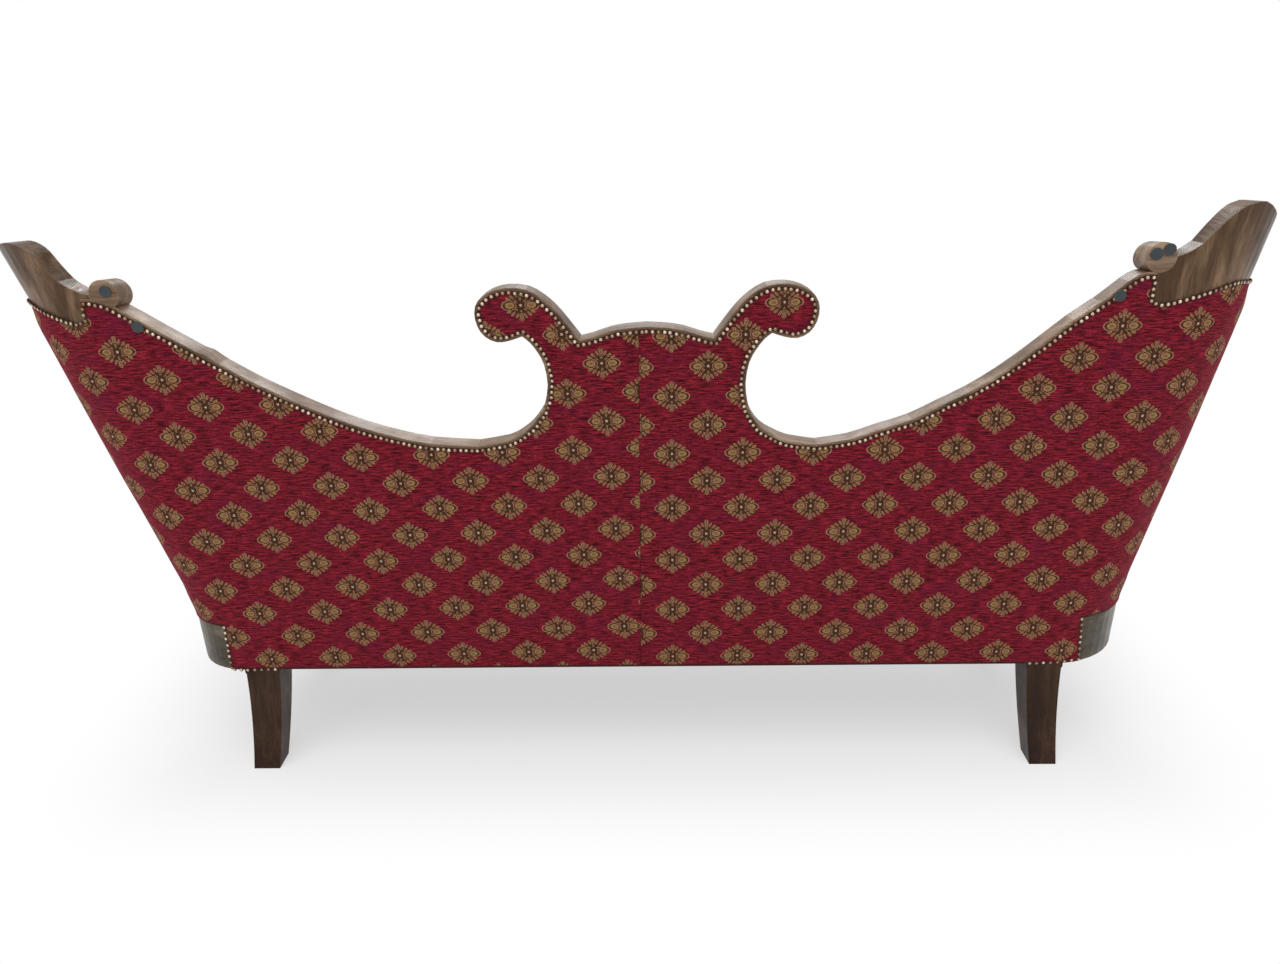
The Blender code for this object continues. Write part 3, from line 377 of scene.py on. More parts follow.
def crest_line(side, inset):
    """The cover's upper edge under the crest, out to the step at the wing."""
    edge = moved_in(crest_edge(side), inset)
    edge = without_loops(edge, inset, crest_edge(side))
    joint = side["joint_x"]
    return by_x(side, [point for point in edge if point[0] < joint] + [(joint, edge[-1][1])])


def border_line(side):
    """The cover's upper edge down the step and along the wing's and the arm's borders."""
    corner = by_x(side, side["border"]) + by_turn(side, side["border_tip"])
    arm = by_y(side, ARM_BORDER) + by_y(side, [(ARM_BACK_Y, ARM_BORDER_FRONT)])
    step = by_x(side, [(side["joint_x"], side["border"][0][1] + STEP_CORNER)])
    return step + smooth(corner + by_turn(side, [(WING_JOINT_TURN, BORDER_JOINT_Z)]) + arm, 4)


def bottom_line(side):
    """The cover's lower edge, from the arm's front back to the corner and down to the foot of the back."""
    low = RAIL_TOP - COVER_LAP
    line = by_y(side, [(ARM_BACK_Y, low)])
    first_turn = 90
    corner_run = side["base_cover"][0][0] - flat_x(side, low)
    last_turn = math.degrees(math.asin(corner_run / corner_radius(side, low)))
    count = 10
    turns = [first_turn + (last_turn - first_turn) * i / count for i in range(count)]
    return line + by_turn(side, [(turn, low) for turn in turns]) + by_x(side, side["base_cover"])


def resampled(line, step):
    """The line with extra points, no further apart than a step."""
    points = []
    for start, end in zip(line, line[1:]):
        start, end = Vector(start), Vector(end)
        count = max(math.ceil((end - start).length / step), 1)
        points += [tuple(start.lerp(end, i / count)) for i in range(count)]
    points.append(tuple(line[-1]))
    return points


# Meshes


def link(piece):
    bpy.context.scene.collection.objects.link(piece)
    return piece


def new_piece(name, mesh, material):
    piece = link(bpy.data.objects.new(name, mesh))
    mesh.materials.clear()
    mesh.materials.append(material)
    mesh.shade_smooth()
    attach(piece, "root")
    return piece


def distances(points, line):
    """The distance of each point from a line, all at once."""
    points = np.asarray(points, float)
    nearest = np.full(len(points), 9.0)
    for start, end in zip(line, line[1:]):
        start, end = np.array(start, float), np.array(end, float)
        along = end - start
        share = np.clip(((points - start) @ along) / max(along @ along, 1e-12), 0, 1)
        gap = points - (start + share[:, None] * along)
        nearest = np.minimum(nearest, np.hypot(gap[:, 0], gap[:, 1]))
    return nearest


def inside(points, outline):
    """Which points lie inside a closed outline."""
    points = np.asarray(points, float)
    found = np.zeros(len(points), bool)
    ring = list(outline) + [outline[0]]
    for (x1, y1), (x2, y2) in zip(ring, ring[1:]):
        if y1 == y2:
            continue
        crosses = (y1 > points[:, 1]) != (y2 > points[:, 1])
        at = x1 + (points[:, 1] - y1) / (y2 - y1) * (x2 - x1)
        found ^= crosses & (points[:, 0] < at)
    return found


def signed_area(outline):
    ring = list(outline) + [outline[0]]
    return sum(x1 * y2 - x2 * y1 for (x1, y1), (x2, y2) in zip(ring, ring[1:])) / 2


def filled(outline, rings, step):
    """Triangles that fill an outline, with rows of points near its rim and a grid within them."""
    if signed_area(outline) < 0:
        outline = list(reversed(outline))
    closed = list(outline) + [outline[0]]
    extra = []
    for distance in rings:
        spacing = max(distance * 1.5, 0.004)
        rim = resampled(closed, spacing)
        row = moved_in(rim, -distance)
        row = [point for point, gap in zip(row, distances(row, closed)) if gap > 0.9 * distance]
        extra += [point for point, within in zip(row, inside(row, outline)) if within]
    xs, ys = zip(*outline)
    grid = []
    for j in range(math.floor(min(ys) / step), math.ceil(max(ys) / step) + 1):
        shift = 0.5 * (j % 2)
        for i in range(math.floor(min(xs) / step), math.ceil(max(xs) / step) + 1):
            grid.append(((i + shift) * step, j * step))
    gaps = distances(grid, closed)
    within = inside(grid, outline)
    limit = rings[-1] + step / 2
    extra += [point for point, gap, yes in zip(grid, gaps, within) if yes and gap > limit]
    points = [Vector(point) for point in list(outline) + extra]
    result = geometry.delaunay_2d_cdt(points, [], [list(range(len(outline)))], 1, 1e-6)
    return [tuple(point) for point in result[0]], result[2]


def set_uv(mesh, values):
    """Gives each corner the pattern coordinates of its point."""
    layer = mesh.uv_layers.new(name="weave")
    for loop in mesh.loops:
        layer.data[loop.index].uv = values[loop.vertex_index]


def pattern_uv(side, u, z):
    """The place on the loom of a point of the outside cover."""
    pattern = side["pattern"]
    origin, across, up = (Vector(pattern[key]) for key in ("origin", "across", "up"))
    point = Vector((side["sign"] * u, (z - LEG_HEIGHT) / math.cos(BACK_RAKE))) - origin
    area = across.cross(up)
    return REPEAT * point.cross(up) / area, REPEAT * REPEAT_RATIO * across.cross(point) / area


def rim_depth(gap, radius, deepest):
    """How far the cloth curls under towards its rim."""
    share = np.clip(gap / radius, 0, 1)
    return deepest * (1 - np.sqrt(1 - (1 - share) ** 2))


def make_cover(side, material):
    """One half of the outside cover: a tight sheet whose rims curl under at the nails and the seam."""
    top = crest_line(side, COVER_INSET) + border_line(side)
    seam_top = side["sign"] * SEAM_TOP_X
    seam_bottom = side["sign"] * SEAM_BOTTOM_X
    first = next(i for i, point in enumerate(top) if point[0] > seam_top)
    top = [(seam_top, top[0][1])] + top[first:]
    edge = resampled(top + bottom_line(side) + [(seam_bottom, LEG_HEIGHT)], EDGE_STEP)
    seam = resampled([(seam_bottom, LEG_HEIGHT), top[0]], EDGE_STEP)
    points, faces = filled(edge[:-1] + seam[:-1], COVER_RINGS, COVER_STEP)
    edge_gap = distances(points, edge)
    seam_gap = distances(points, seam)
    depth = rim_depth(edge_gap, RIM_CURL, WOOD_DEPTH)
    depth = np.maximum(depth, rim_depth(seam_gap, SEAM_CURL, SEAM_DIP))
    swell = np.clip((edge_gap - SWELL_START) / SWELL_REACH, 0, 1)
    depth -= COVER_PUFF * swell * swell * (3 - 2 * swell)
    verts = []
    for (u, z), d, full in zip(points, depth, swell):
        wave = noise.noise(Vector((u * 5, z * 7, side["sign"]))) * COVER_WAVE * full
        turned = min(max((u - flat_x(side, z)) / CORNER_REACH, 0), 1)
        turned *= min(max((z - RAIL_TOP) / CORNER_RISE, 0), 1)
        verts.append(place(side, u, z, d + wave - CORNER_PUFF * full * turned))
    faces = [tuple(face) for face in faces]
    if side["sign"] > 0:
        faces = [face[::-1] for face in faces]
    mesh = bpy.data.meshes.new("back_cover_" + side["name"])
    mesh.from_pydata(verts, [], faces)
    set_uv(mesh, [pattern_uv(side, u, z) for u, z in points])
    # Painted shade: a share that darkens the cloth towards its rim, where it tucks in beside the nails and
    # the wood
    rim = mesh.attributes.new("rim", "FLOAT", "POINT")
    rim.data.foreach_set("value", np.clip(1 - edge_gap / RIM_SHADE, 0, 1).astype(np.float32))
    piece = new_piece(mesh.name, mesh, material)
    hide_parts("outside_cover_" + side["name"])
    return piece


# Nails


def nail_profile():
    """Rings of one brass nail head: radius and height."""
    rings = []
    for step in range(NAIL_RINGS):
        angle = math.radians(4 + 26 * step)
        rings.append((NAIL_RADIUS * math.cos(angle), NAIL_HEIGHT * math.sin(angle)))
    return rings


def add_nail(bm, layer, centre, normal, seed):
    """One domed head, turned and tipped a little differently each time. Its map holds height and tone."""
    dice = random.Random(seed)
    tip = Vector((dice.uniform(-1, 1), dice.uniform(-1, 1), dice.uniform(-1, 1))) * NAIL_TIP
    turn = (normal + tip).to_track_quat("Z", "Y")
    tone = dice.random()
    rings = []
    levels = {}
    for radius, height in nail_profile():
        ring = []
        for k in range(NAIL_SEGMENTS):
            angle = 2 * math.pi * k / NAIL_SEGMENTS
            offset = Vector((radius * math.cos(angle), radius * math.sin(angle), height))
            ring.append(bm.verts.new(centre + turn @ offset))
            levels[ring[-1]] = height / NAIL_HEIGHT
        rings.append(ring)
    peak = bm.verts.new(centre + turn @ Vector((0, 0, NAIL_HEIGHT)))
    levels[peak] = 1.0
    faces = []
    for k in range(NAIL_SEGMENTS):
        after = (k + 1) % NAIL_SEGMENTS
        for lower, upper in zip(rings, rings[1:]):
            faces.append(bm.faces.new((lower[k], lower[after], upper[after], upper[k])))
        faces.append(bm.faces.new((rings[-1][k], rings[-1][after], peak)))
    for face in faces:
        for loop in face.loops:
            loop[layer].uv = (levels[loop.vert], tone)


def nail_places(side, line, depth, pitch):
    """Points a pitch apart along a flat line, measured on the shell."""
    line = resampled(line, 0.002)
    solid = [place(side, u, z, depth) for u, z in line]
    found = []
    along = 0.0
    wanted = 0.0
    for i in range(1, len(line)):
        step = (solid[i] - solid[i - 1]).length
        while wanted <= along + step and step > 0:
            share = (wanted - along) / step
            u = line[i - 1][0] + share * (line[i][0] - line[i - 1][0])
            z = line[i - 1][1] + share * (line[i][1] - line[i - 1][1])
            found.append((u, z))
            wanted += pitch
        along += step
    return found


def make_nails(name, rows, material):
    """All nails of the rows: each row is a side, a flat line, a depth and a pitch."""
    bm = bmesh.new()
    layer = bm.loops.layers.uv.new("head")
    seed = 0
    for side, line, depth, pitch in rows:
        for u, z in nail_places(side, line, depth, pitch):
            seed += 1
            dice = random.Random(seed * 7)
            u += dice.uniform(-NAIL_JITTER, NAIL_JITTER)
            z += dice.uniform(-NAIL_JITTER, NAIL_JITTER)
            add_nail(bm, layer, place(side, u, z, depth), outward(side, u, z), seed)
    mesh = bpy.data.meshes.new(name)
    bm.to_mesh(mesh)
    bm.free()
    return new_piece(name, mesh, material)


def outside_rows():
    """Nails that hold the outside cover."""
    rows = []
    depth = NAIL_DEPTH
    for side in SIDES:
        top = crest_line(side, COVER_INSET)
        line = without_loops(moved_in(top, NAIL_INSET), NAIL_INSET, top)
        end = top[-1][0] - BORDER_NAIL_INSET
        line = [point for point in line if 0 < point[0] < end]
        rows.append((side, line, depth, NAIL_PITCH))
        start = (top[-1][0], top[-1][1] - NAIL_INSET - NAIL_PITCH)
        rows.append((side, moved_in([start] + border_line(side), BORDER_NAIL_INSET), depth, NAIL_PITCH))
        post = [(x - NAIL_INSET, z) for x, z in side["base_cover"]]
        rows.append((side, by_x(side, post), depth, BASE_NAIL_PITCH))
        rows.append((side, by_x(side, side["foot_nails"]), depth, BASE_NAIL_PITCH))
    return rows


# Materials


class Graph:
    """Shader nodes of one material, added and joined."""

    def __init__(self, name):
        self.material = bpy.data.materials.new(name)
        self.material.use_nodes = True
        self.tree = self.material.node_tree
        self.shader = self.tree.nodes["Principled BSDF"]

    def put(self, socket, value):
        if isinstance(value, bpy.types.NodeSocket):
            self.tree.links.new(value, socket)
        elif hasattr(value, "__len__") and len(value) == 3 and len(socket.default_value) == 4:
            socket.default_value = (*value, 1)
        else:
            socket.default_value = value

    def add(self, kind, inputs=(), **settings):
        node = self.tree.nodes.new("ShaderNode" + kind)
        for key, value in settings.items():
            setattr(node, key, value)
        for key, value in dict(inputs).items():
            self.put(node.inputs[key], value)
        return node

    def math(self, operation, a, b=0.0, clamp=False):
        return self.add("Math", {0: a, 1: b}, operation=operation, use_clamp=clamp).outputs[0]

    def vector(self, operation, a, b=(0, 0, 0), c=(0, 0, 0)):
        node = self.add("VectorMath", {0: a, 1: b}, operation=operation)
        if operation in ("WRAP", "MULTIPLY_ADD"):
            self.put(node.inputs[2], c)
        return node.outputs["Value" if operation in ("LENGTH", "DOT_PRODUCT") else "Vector"]

    def mix(self, share, a, b, blend="MIX"):
        node = self.add("Mix", data_type="RGBA", blend_type=blend)
        self.put(node.inputs[0], share)
        self.put(node.inputs[6], a)
        self.put(node.inputs[7], b)
        return node.outputs[2]

    def noise(self, place_, scale, stretch=(1, 1, 1), detail=4.0, rough=0.55, distortion=0.0):
        at = self.vector("MULTIPLY", place_, stretch)
        inputs = {"Vector": at, "Scale": scale, "Detail": detail, "Roughness": rough}
        inputs["Distortion"] = distortion
        return self.add("TexNoise", inputs).outputs["Fac"]

    def ramp(self, value, stops):
        node = self.add("ValToRGB", {"Fac": value})
        elements = node.color_ramp.elements
        while len(elements) < len(stops):
            elements.new(0.5)
        for element, (at, colour) in zip(elements, stops):
            element.position = at
            element.color = (*colour, 1) if len(colour) == 3 else colour
        return node.outputs["Color"]

    def span(self, value, low, high, out_low=0.0, out_high=1.0, smoothed=True):
        kind = "SMOOTHSTEP" if smoothed else "LINEAR"
        inputs = {"Value": value, "From Min": low, "From Max": high, "To Min": out_low, "To Max": out_high}
        return self.add("MapRange", inputs, interpolation_type=kind).outputs["Result"]

    def bump(self, height, strength, distance, normal=None):
        inputs = {"Height": height, "Strength": strength, "Distance": distance}
        if normal is not None:
            inputs["Normal"] = normal
        return self.add("Bump", inputs).outputs["Normal"]


def petal(graph, at, centre, angle, axes):
    """How far out of a leaning oval a point lies: 0 in its middle and 1 on its edge."""
    moved = graph.vector("SUBTRACT", at, (*centre, 0))
    turn = {"Vector": moved, "Angle": -math.radians(angle)}
    turned = graph.add("VectorRotate", turn, rotation_type="Z_AXIS")
    scaled = graph.vector("DIVIDE", turned.outputs["Vector"], (*axes, 1))
    return graph.vector("LENGTH", scaled)


def make_chenille():
    """Crimson chenille with gold rosettes in offset rows, woven in short steps."""
    graph = Graph("rosette_chenille")
    uv = graph.add("UVMap", uv_map="weave").outputs["UV"]
    millimetres = graph.vector("MULTIPLY", uv, (1000, 1000, 0))
    ragged = graph.noise(millimetres, 0.35, (1, 1, 1), 2.0)
    shake = graph.math("MULTIPLY", graph.math("SUBTRACT", ragged, 0.5), 1.6)
    shaken = graph.vector("ADD", millimetres, graph.add("CombineXYZ", {0: shake, 1: shake}).outputs[0])
    stepped = graph.vector("SNAP", shaken, (1.25, 1.1, 1))
    pitch = (REPEAT * 1000, REPEAT * REPEAT_RATIO * 1000, 1)
    cells = graph.vector("DIVIDE", stepped, pitch)
    half, minus = (0.5, 0.5, 0.5), (-0.5, -0.5, -0.5)
    first = graph.vector("WRAP", cells, half, minus)
    second = graph.vector("WRAP", graph.vector("ADD", cells, (0.5, 0.5, 0)), half, minus)
    reach = graph.vector("DOT_PRODUCT", graph.vector("ABSOLUTE", first), (1, 1, 0))
    near_first = graph.math("LESS_THAN", reach, 0.5)
    chosen = graph.mix(near_first, second, first)
    local = graph.vector("MULTIPLY", chosen, pitch)
    quarter = graph.vector("ABSOLUTE", local)
    radius = graph.vector("LENGTH", local)

    nearest = None
    for centre, angle, axes in PETALS:
        gap = petal(graph, quarter, centre, angle, axes)
        nearest = gap if nearest is None else graph.math("MINIMUM", nearest, gap)
    arches = [petal(graph, quarter, *form) for form in (SIDE_ARCH, TOP_ARCH)]

    streak = graph.noise(millimetres, 0.075, (0.6, 5.2, 1), 4.0, 0.72)
    fleck = graph.noise(millimetres, 0.42, (0.5, 1.6, 1), 2.0, 0.75)
    patch = graph.noise(millimetres, 0.012, (1, 1.6, 1), 3.0, 0.6)
    red = graph.ramp(
        streak,
        ((0.39, (0.032, 0.003, 0.006)), (0.49, (0.150, 0.008, 0.017)), (0.59, (0.330, 0.021, 0.040))),
    )
    plum = graph.mix(graph.span(patch, 0.45, 0.75, 0, 0.45), red, (0.150, 0.008, 0.040))
    dulled = graph.mix(1.0, plum, (0.42, 0.36, 0.40), "MULTIPLY")
    ground = graph.mix(graph.span(fleck, 0.30, 0.62, 0.75, 0), plum, dulled)
    ground = graph.mix(graph.span(fleck, 0.62, 0.80, 0, 0.5), ground, (0.36, 0.07, 0.08))

    thread = graph.noise(millimetres, 0.9, (1, 1, 1), 2.0)
    gap_colour = (0.045, 0.018, 0.008)
    olive_tones = ((0.0, (0.17, 0.095, 0.028)), (0.45, (0.33, 0.200, 0.072)), (0.76, (0.44, 0.27, 0.125)))
    tan_tones = ((0.0, (0.15, 0.065, 0.030)), (0.45, (0.28, 0.14, 0.070)), (0.70, (0.47, 0.27, 0.160)))
    olive = graph.ramp(nearest, (*olive_tones, (0.86, gap_colour)))
    tan = graph.ramp(nearest, (*tan_tones, (0.84, gap_colour)))
    sideways = graph.math("SUBTRACT", graph.add("SeparateXYZ", {0: quarter}).outputs["X"], 9.0)
    gold = graph.mix(graph.span(sideways, 2, 9), tan, olive)
    gold = graph.mix(graph.span(thread, 0.44, 0.62, 0, 0.85), gold, (0.09, 0.036, 0.015))
    outline = graph.mix(graph.span(thread, 0.38, 0.62, 0, 0.7), (0.40, 0.21, 0.13), (0.20, 0.05, 0.035))
    dark = graph.mix(graph.span(thread, 0.45, 0.65), (0.026, 0.011, 0.005), (0.120, 0.062, 0.026))
    colour = ground
    spread = graph.vector("DOT_PRODUCT", quarter, (1 / ROSETTE_REACH[0], 1 / ROSETTE_REACH[1], 0))
    colour = graph.mix(graph.math("LESS_THAN", spread, 1.0), colour, dark)
    for form in arches:
        colour = graph.mix(graph.math("LESS_THAN", form, 1.0), colour, outline)
        colour = graph.mix(graph.math("LESS_THAN", form, 0.84), colour, dark)
    is_petal = graph.math("LESS_THAN", nearest, 1.02)
    is_ring = graph.math("LESS_THAN", radius, ROSETTE_RING)
    colour = graph.mix(is_petal, colour, gold)
    colour = graph.mix(is_ring, colour, dark)
    colour = graph.mix(graph.math("LESS_THAN", radius, ROSETTE_DOT), colour, (0.50, 0.34, 0.27))
    # Painted shade along the cover's rim, beside the nails and the wood
    rim = graph.add("Attribute", attribute_name="rim").outputs["Fac"]
    colour = graph.mix(graph.span(rim, 0.25, 0.65, 0, 0.85), colour, (0.035, 0.014, 0.010))

    across = graph.vector("MULTIPLY", millimetres, (0, 1, 0))
    rib = graph.add("TexWave", {"Vector": across, "Scale": 0.095}, bands_direction="Y")
    shade = graph.math("MULTIPLY", rib.outputs["Fac"], 0.30)
    height = graph.math("ADD", graph.math("ADD", streak, graph.math("MULTIPLY", fleck, 0.8)), shade)
    raised = graph.math("MAXIMUM", is_petal, is_ring)
    height = graph.math("ADD", height, graph.math("MULTIPLY", raised, 0.25))
    graph.put(graph.shader.inputs["Normal"], graph.bump(height, 0.5, 0.0012))
    graph.put(graph.shader.inputs["Base Color"], colour)
    graph.put(graph.shader.inputs["Roughness"], graph.span(streak, 0.3, 0.7, 0.78, 0.95))
    graph.shader.inputs["Specular IOR Level"].default_value = 0.08
    graph.shader.inputs["Sheen Weight"].default_value = 0.16
    graph.shader.inputs["Sheen Roughness"].default_value = 0.45
    graph.shader.inputs["Sheen Tint"].default_value = (1.0, 0.22, 0.26, 1)
    return graph.material


def make_wood(name, grain, dark, middle, light, roughness, wear=0.5):
    """Old varnished wood: broad figure and pores along the grain, worn pale at the arrises."""
    graph = Graph(name)
    at = graph.add("TexCoord").outputs["Object"]
    long_axis = {"x": (0.12, 1, 1), "y": (1, 0.12, 1), "z": (1, 1, 0.12)}[grain]
    band = graph.noise(at, 13, long_axis, 2.0, 0.5, 0.4)
    fine = graph.noise(at, 46, long_axis, 5.0, 0.65, 0.8)
    figure = graph.math("ADD", graph.math("MULTIPLY", band, 0.6), graph.math("MULTIPLY", fine, 0.4))
    fine_axis = {"x": (0.03, 1, 1), "y": (1, 0.03, 1), "z": (1, 1, 0.03)}[grain]
    pores = graph.noise(at, 420, fine_axis, 3.0, 0.6)
    cloud = graph.noise(at, 9, (1, 1, 1), 3.0, 0.6)
    colour = graph.ramp(figure, ((0.36, dark), (0.5, middle), (0.64, light)))
    colour = graph.mix(graph.span(pores, 0.5, 0.7, 0, 0.55), colour, tuple(0.35 * value for value in dark))
    colour = graph.mix(graph.span(cloud, 0.35, 0.75, 0, 0.5), colour, tuple(0.6 * value for value in middle))
    soft = graph.add("Bevel", {"Radius": 0.0022}, samples=6).outputs["Normal"]
    flat = graph.add("NewGeometry").outputs["Normal"]
    bend = graph.math("SUBTRACT", 1.0, graph.vector("DOT_PRODUCT", soft, flat))
    rubbed = graph.math("MULTIPLY", graph.span(bend, 0.02, 0.2), graph.span(cloud, 0.35, 0.6, 0.2, wear))
    colour = graph.mix(rubbed, colour, tuple(min(1.9 * value + 0.03, 1) for value in light))
    graph.put(graph.shader.inputs["Base Color"], colour)
    uneven = graph.span(cloud, 0.3, 0.7, roughness - 0.08, roughness + 0.12)
    graph.put(graph.shader.inputs["Roughness"], uneven)
    scratches = graph.math("ADD", graph.math("MULTIPLY", pores, 0.6), figure)
    graph.put(graph.shader.inputs["Normal"], graph.bump(scratches, 0.12, 0.0008, soft))
    graph.shader.inputs["Specular IOR Level"].default_value = WOOD_SPECULAR
    return graph.material


def make_brass():
    """Old brass heads: bright on the crown, darkened at the rim by grime and painted shade, and each of its
    own tone.
    """
    graph = Graph("aged_brass")
    split = graph.add("SeparateXYZ", {0: graph.add("UVMap", uv_map="head").outputs["UV"]})
    level, tone = split.outputs["X"], split.outputs["Y"]
    at = graph.add("TexCoord").outputs["Object"]
    cloud = graph.noise(at, 300, (1, 1, 1), 2.0)
    tones = ((0.0, (0.26, 0.15, 0.085)), (0.5, (0.56, 0.40, 0.27)), (1.0, (0.80, 0.66, 0.52)))
    clean = graph.ramp(tone, tones)
    crown = graph.mix(graph.span(cloud, 0.45, 0.7, 0, 0.6), clean, (0.22, 0.13, 0.07))
    # Painted shade with grime: each head darkens towards its rim, where it meets the cloth
    rim_grime_and_shade = graph.span(level, 0.42, 0.92)
    graph.put(graph.shader.inputs["Base Color"], graph.mix(rim_grime_and_shade, (0.028, 0.014, 0.008), crown))
    graph.put(graph.shader.inputs["Roughness"], graph.span(level, 0.3, 0.9, 0.75, 0.30))
    graph.put(graph.shader.inputs["Metallic"], graph.span(level, 0.3, 0.8, 0.2, 1.0))
    return graph.material


def make_fibre(name, colour, scale, stretch, roughness=0.9, sheen=0.2, bump=0.3):
    """Felt, jute and plain cloths: a mottled colour with a fibrous surface."""
    graph = Graph(name)
    at = graph.add("TexCoord").outputs["Object"]
    fibre = graph.noise(at, scale, stretch, 4.0, 0.65)
    cloud = graph.noise(at, scale / 14, (1, 1, 1), 3.0)
    low = tuple(0.55 * value for value in colour)
    high = tuple(min(1.5 * value, 1) for value in colour)
    mottled = graph.ramp(fibre, ((0.3, low), (0.5, colour), (0.72, high)))
    shaded = graph.mix(graph.span(cloud, 0.35, 0.7, 0, 0.35), mottled, low)
    graph.put(graph.shader.inputs["Base Color"], shaded)
    graph.put(graph.shader.inputs["Normal"], graph.bump(fibre, bump, 0.001))
    graph.shader.inputs["Roughness"].default_value = roughness
    graph.shader.inputs["Specular IOR Level"].default_value = 0.2
    graph.shader.inputs["Sheen Weight"].default_value = sheen
    return graph.material


def make_webbing():
    """Jute webbing with a coarse plain weave."""
    graph = Graph("jute_web")
    at = graph.add("TexCoord").outputs["Object"]
    across = graph.add("TexWave", {"Vector": at, "Scale": 95.0, "Distortion": 0.6}, bands_direction="X")
    along = graph.add("TexWave", {"Vector": at, "Scale": 95.0, "Distortion": 0.6}, bands_direction="Y")
    weave = graph.math("MULTIPLY", across.outputs["Fac"], along.outputs["Fac"])
    fibre = graph.noise(at, 300, (1, 1, 1), 3.0)
    mixed = graph.math("ADD", graph.math("MULTIPLY", weave, 0.6), graph.math("MULTIPLY", fibre, 0.4))
    tones = ((0.1, (0.16, 0.10, 0.05)), (0.45, (0.40, 0.28, 0.15)), (0.8, (0.58, 0.43, 0.26)))
    colour = graph.ramp(mixed, tones)
    graph.put(graph.shader.inputs["Base Color"], colour)
    graph.put(graph.shader.inputs["Normal"], graph.bump(mixed, 0.5, 0.0008))
    graph.shader.inputs["Roughness"].default_value = 0.92
    return graph.material


def make_steel():
    graph = Graph("coppered_steel")
    at = graph.add("TexCoord").outputs["Object"]
    cloud = graph.noise(at, 90, (1, 1, 1), 3.0)
    colour = graph.ramp(cloud, ((0.3, (0.22, 0.14, 0.09)), (0.6, (0.48, 0.36, 0.26))))
    graph.put(graph.shader.inputs["Base Color"], colour)
    graph.put(graph.shader.inputs["Roughness"], graph.span(cloud, 0.3, 0.7, 0.55, 0.35))
    graph.shader.inputs["Metallic"].default_value = 1.0
    return graph.material


# Pads


def evaluated_mesh(piece):
    graph = bpy.context.evaluated_depsgraph_get()
    return bpy.data.meshes.new_from_object(piece.evaluated_get(graph))


def coordinates(mesh):
    values = np.empty(len(mesh.vertices) * 3, np.float32)
    mesh.vertices.foreach_get("co", values)
    return values.reshape(-1, 3).astype(float)


def blow_up(piece, held, pressure, cap):
    """Runs the cloth under pressure with its held points fixed; no point moves further than the cap."""
    before = coordinates(piece.data)
    group = piece.vertex_groups.new(name="held")
    group.add([int(i) for i in np.flatnonzero(held)], 1.0, "REPLACE")
    cloth = piece.modifiers.new("cloth", "CLOTH")
    cloth.settings.quality = CLOTH_QUALITY
    cloth.settings.vertex_group_mass = "held"
    cloth.settings.use_pressure = True
    cloth.settings.uniform_pressure_force = pressure
    cloth.settings.effector_weights.gravity = 0
    cloth.point_cache.frame_start = 1
    cloth.point_cache.frame_end = CLOTH_FRAMES
    scene = bpy.context.scene
    for step in range(1, CLOTH_FRAMES + 1):
        scene.frame_set(step)
    bpy.context.view_layer.update()
    graph = bpy.context.evaluated_depsgraph_get()
    solved = piece.evaluated_get(graph).to_mesh()
    after = coordinates(solved)
    piece.evaluated_get(graph).to_mesh_clear()
    piece.modifiers.remove(cloth)
    scene.frame_set(1)
    move = after - before
    length = np.linalg.norm(move, axis=1, keepdims=True)
    move *= np.minimum(1, cap / np.maximum(length, 1e-9))
    piece.data.vertices.foreach_set("co", (before + move).astype(np.float32).ravel())
    piece.data.update()


def seat_leaned(points):
    """The seat's points with its sides leaning out along the arms, so that they meet the arm pads."""
    x = points[:, 0] - ORIGIN.x
    height = points[:, 2] - RAIL_TOP
    behind_front = np.clip((points[:, 1] - ORIGIN.y - ARM_BACK_Y) / SEAT_SIDE_START, 0, 1)
    extra = SEAT_SIDE_EXTRA + SEAT_SIDE_FILL * behind_front
    moved = points.copy()
    for side in SIDES:
        lean = side["lean"] * np.maximum(np.maximum(height - LEAN_START / 2, height / 2), 0)
        inward = (side["sign"] * x).max() - side["sign"] * x
        share = np.clip(1 - inward / SEAT_SIDE_REACH, 0, 1)
        moved[:, 0] += side["sign"] * share * (lean + extra)
    return moved


def make_pad(name, node, voxel, shrink, hold, pressure, cap, uv_of, material, reshape=None):
    """A pad swollen from its plain solid: an even mesh, a cloth run, and one subdivision."""
    piece = link(bpy.data.objects.new(name, NODES[node].data.copy()))
    even = piece.modifiers.new("even mesh", "REMESH")
    even.mode = "VOXEL"
    even.voxel_size = voxel
    smoother = piece.modifiers.new("soft edges", "SMOOTH")
    smoother.factor = SMOOTH_SHARE
    smoother.iterations = SMOOTH_ROUNDS
    mesh = evaluated_mesh(piece)
    piece.modifiers.clear()
    piece.data = mesh
    mesh.name = name
    points = coordinates(mesh)
    normals = np.empty(len(mesh.vertices) * 3, np.float32)
    mesh.vertices.foreach_get("normal", normals)
    normals = normals.reshape(-1, 3)
    held = hold(points, normals)
    points[~held] -= normals[~held] * shrink
    if reshape:
        points = reshape(points)
    mesh.vertices.foreach_set("co", points.astype(np.float32).ravel())
    mesh.update()
    blow_up(piece, held, pressure, cap)
    mesh = piece.data
    uvs = [uv_of(Vector(point)) for point in coordinates(mesh)]
    set_uv(mesh, uvs)
    mesh.materials.clear()
    mesh.materials.append(material)
    mesh.shade_smooth()
    finer = piece.modifiers.new("finer", "SUBSURF")
    finer.levels = 1
    finer.render_levels = 1
    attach(piece, "root")
    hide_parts(node)
    return piece


def seat_uv(point):
    """The seat's pattern runs over the top and down the front without a break."""
    local = point - ORIGIN
    drop = max(SEAT_TOP - local.z, 0)
    front = max(FRONT_Y + 0.03 - local.y, 0) > 0
    return local.x, local.y - (drop if front else 0) + 0.3


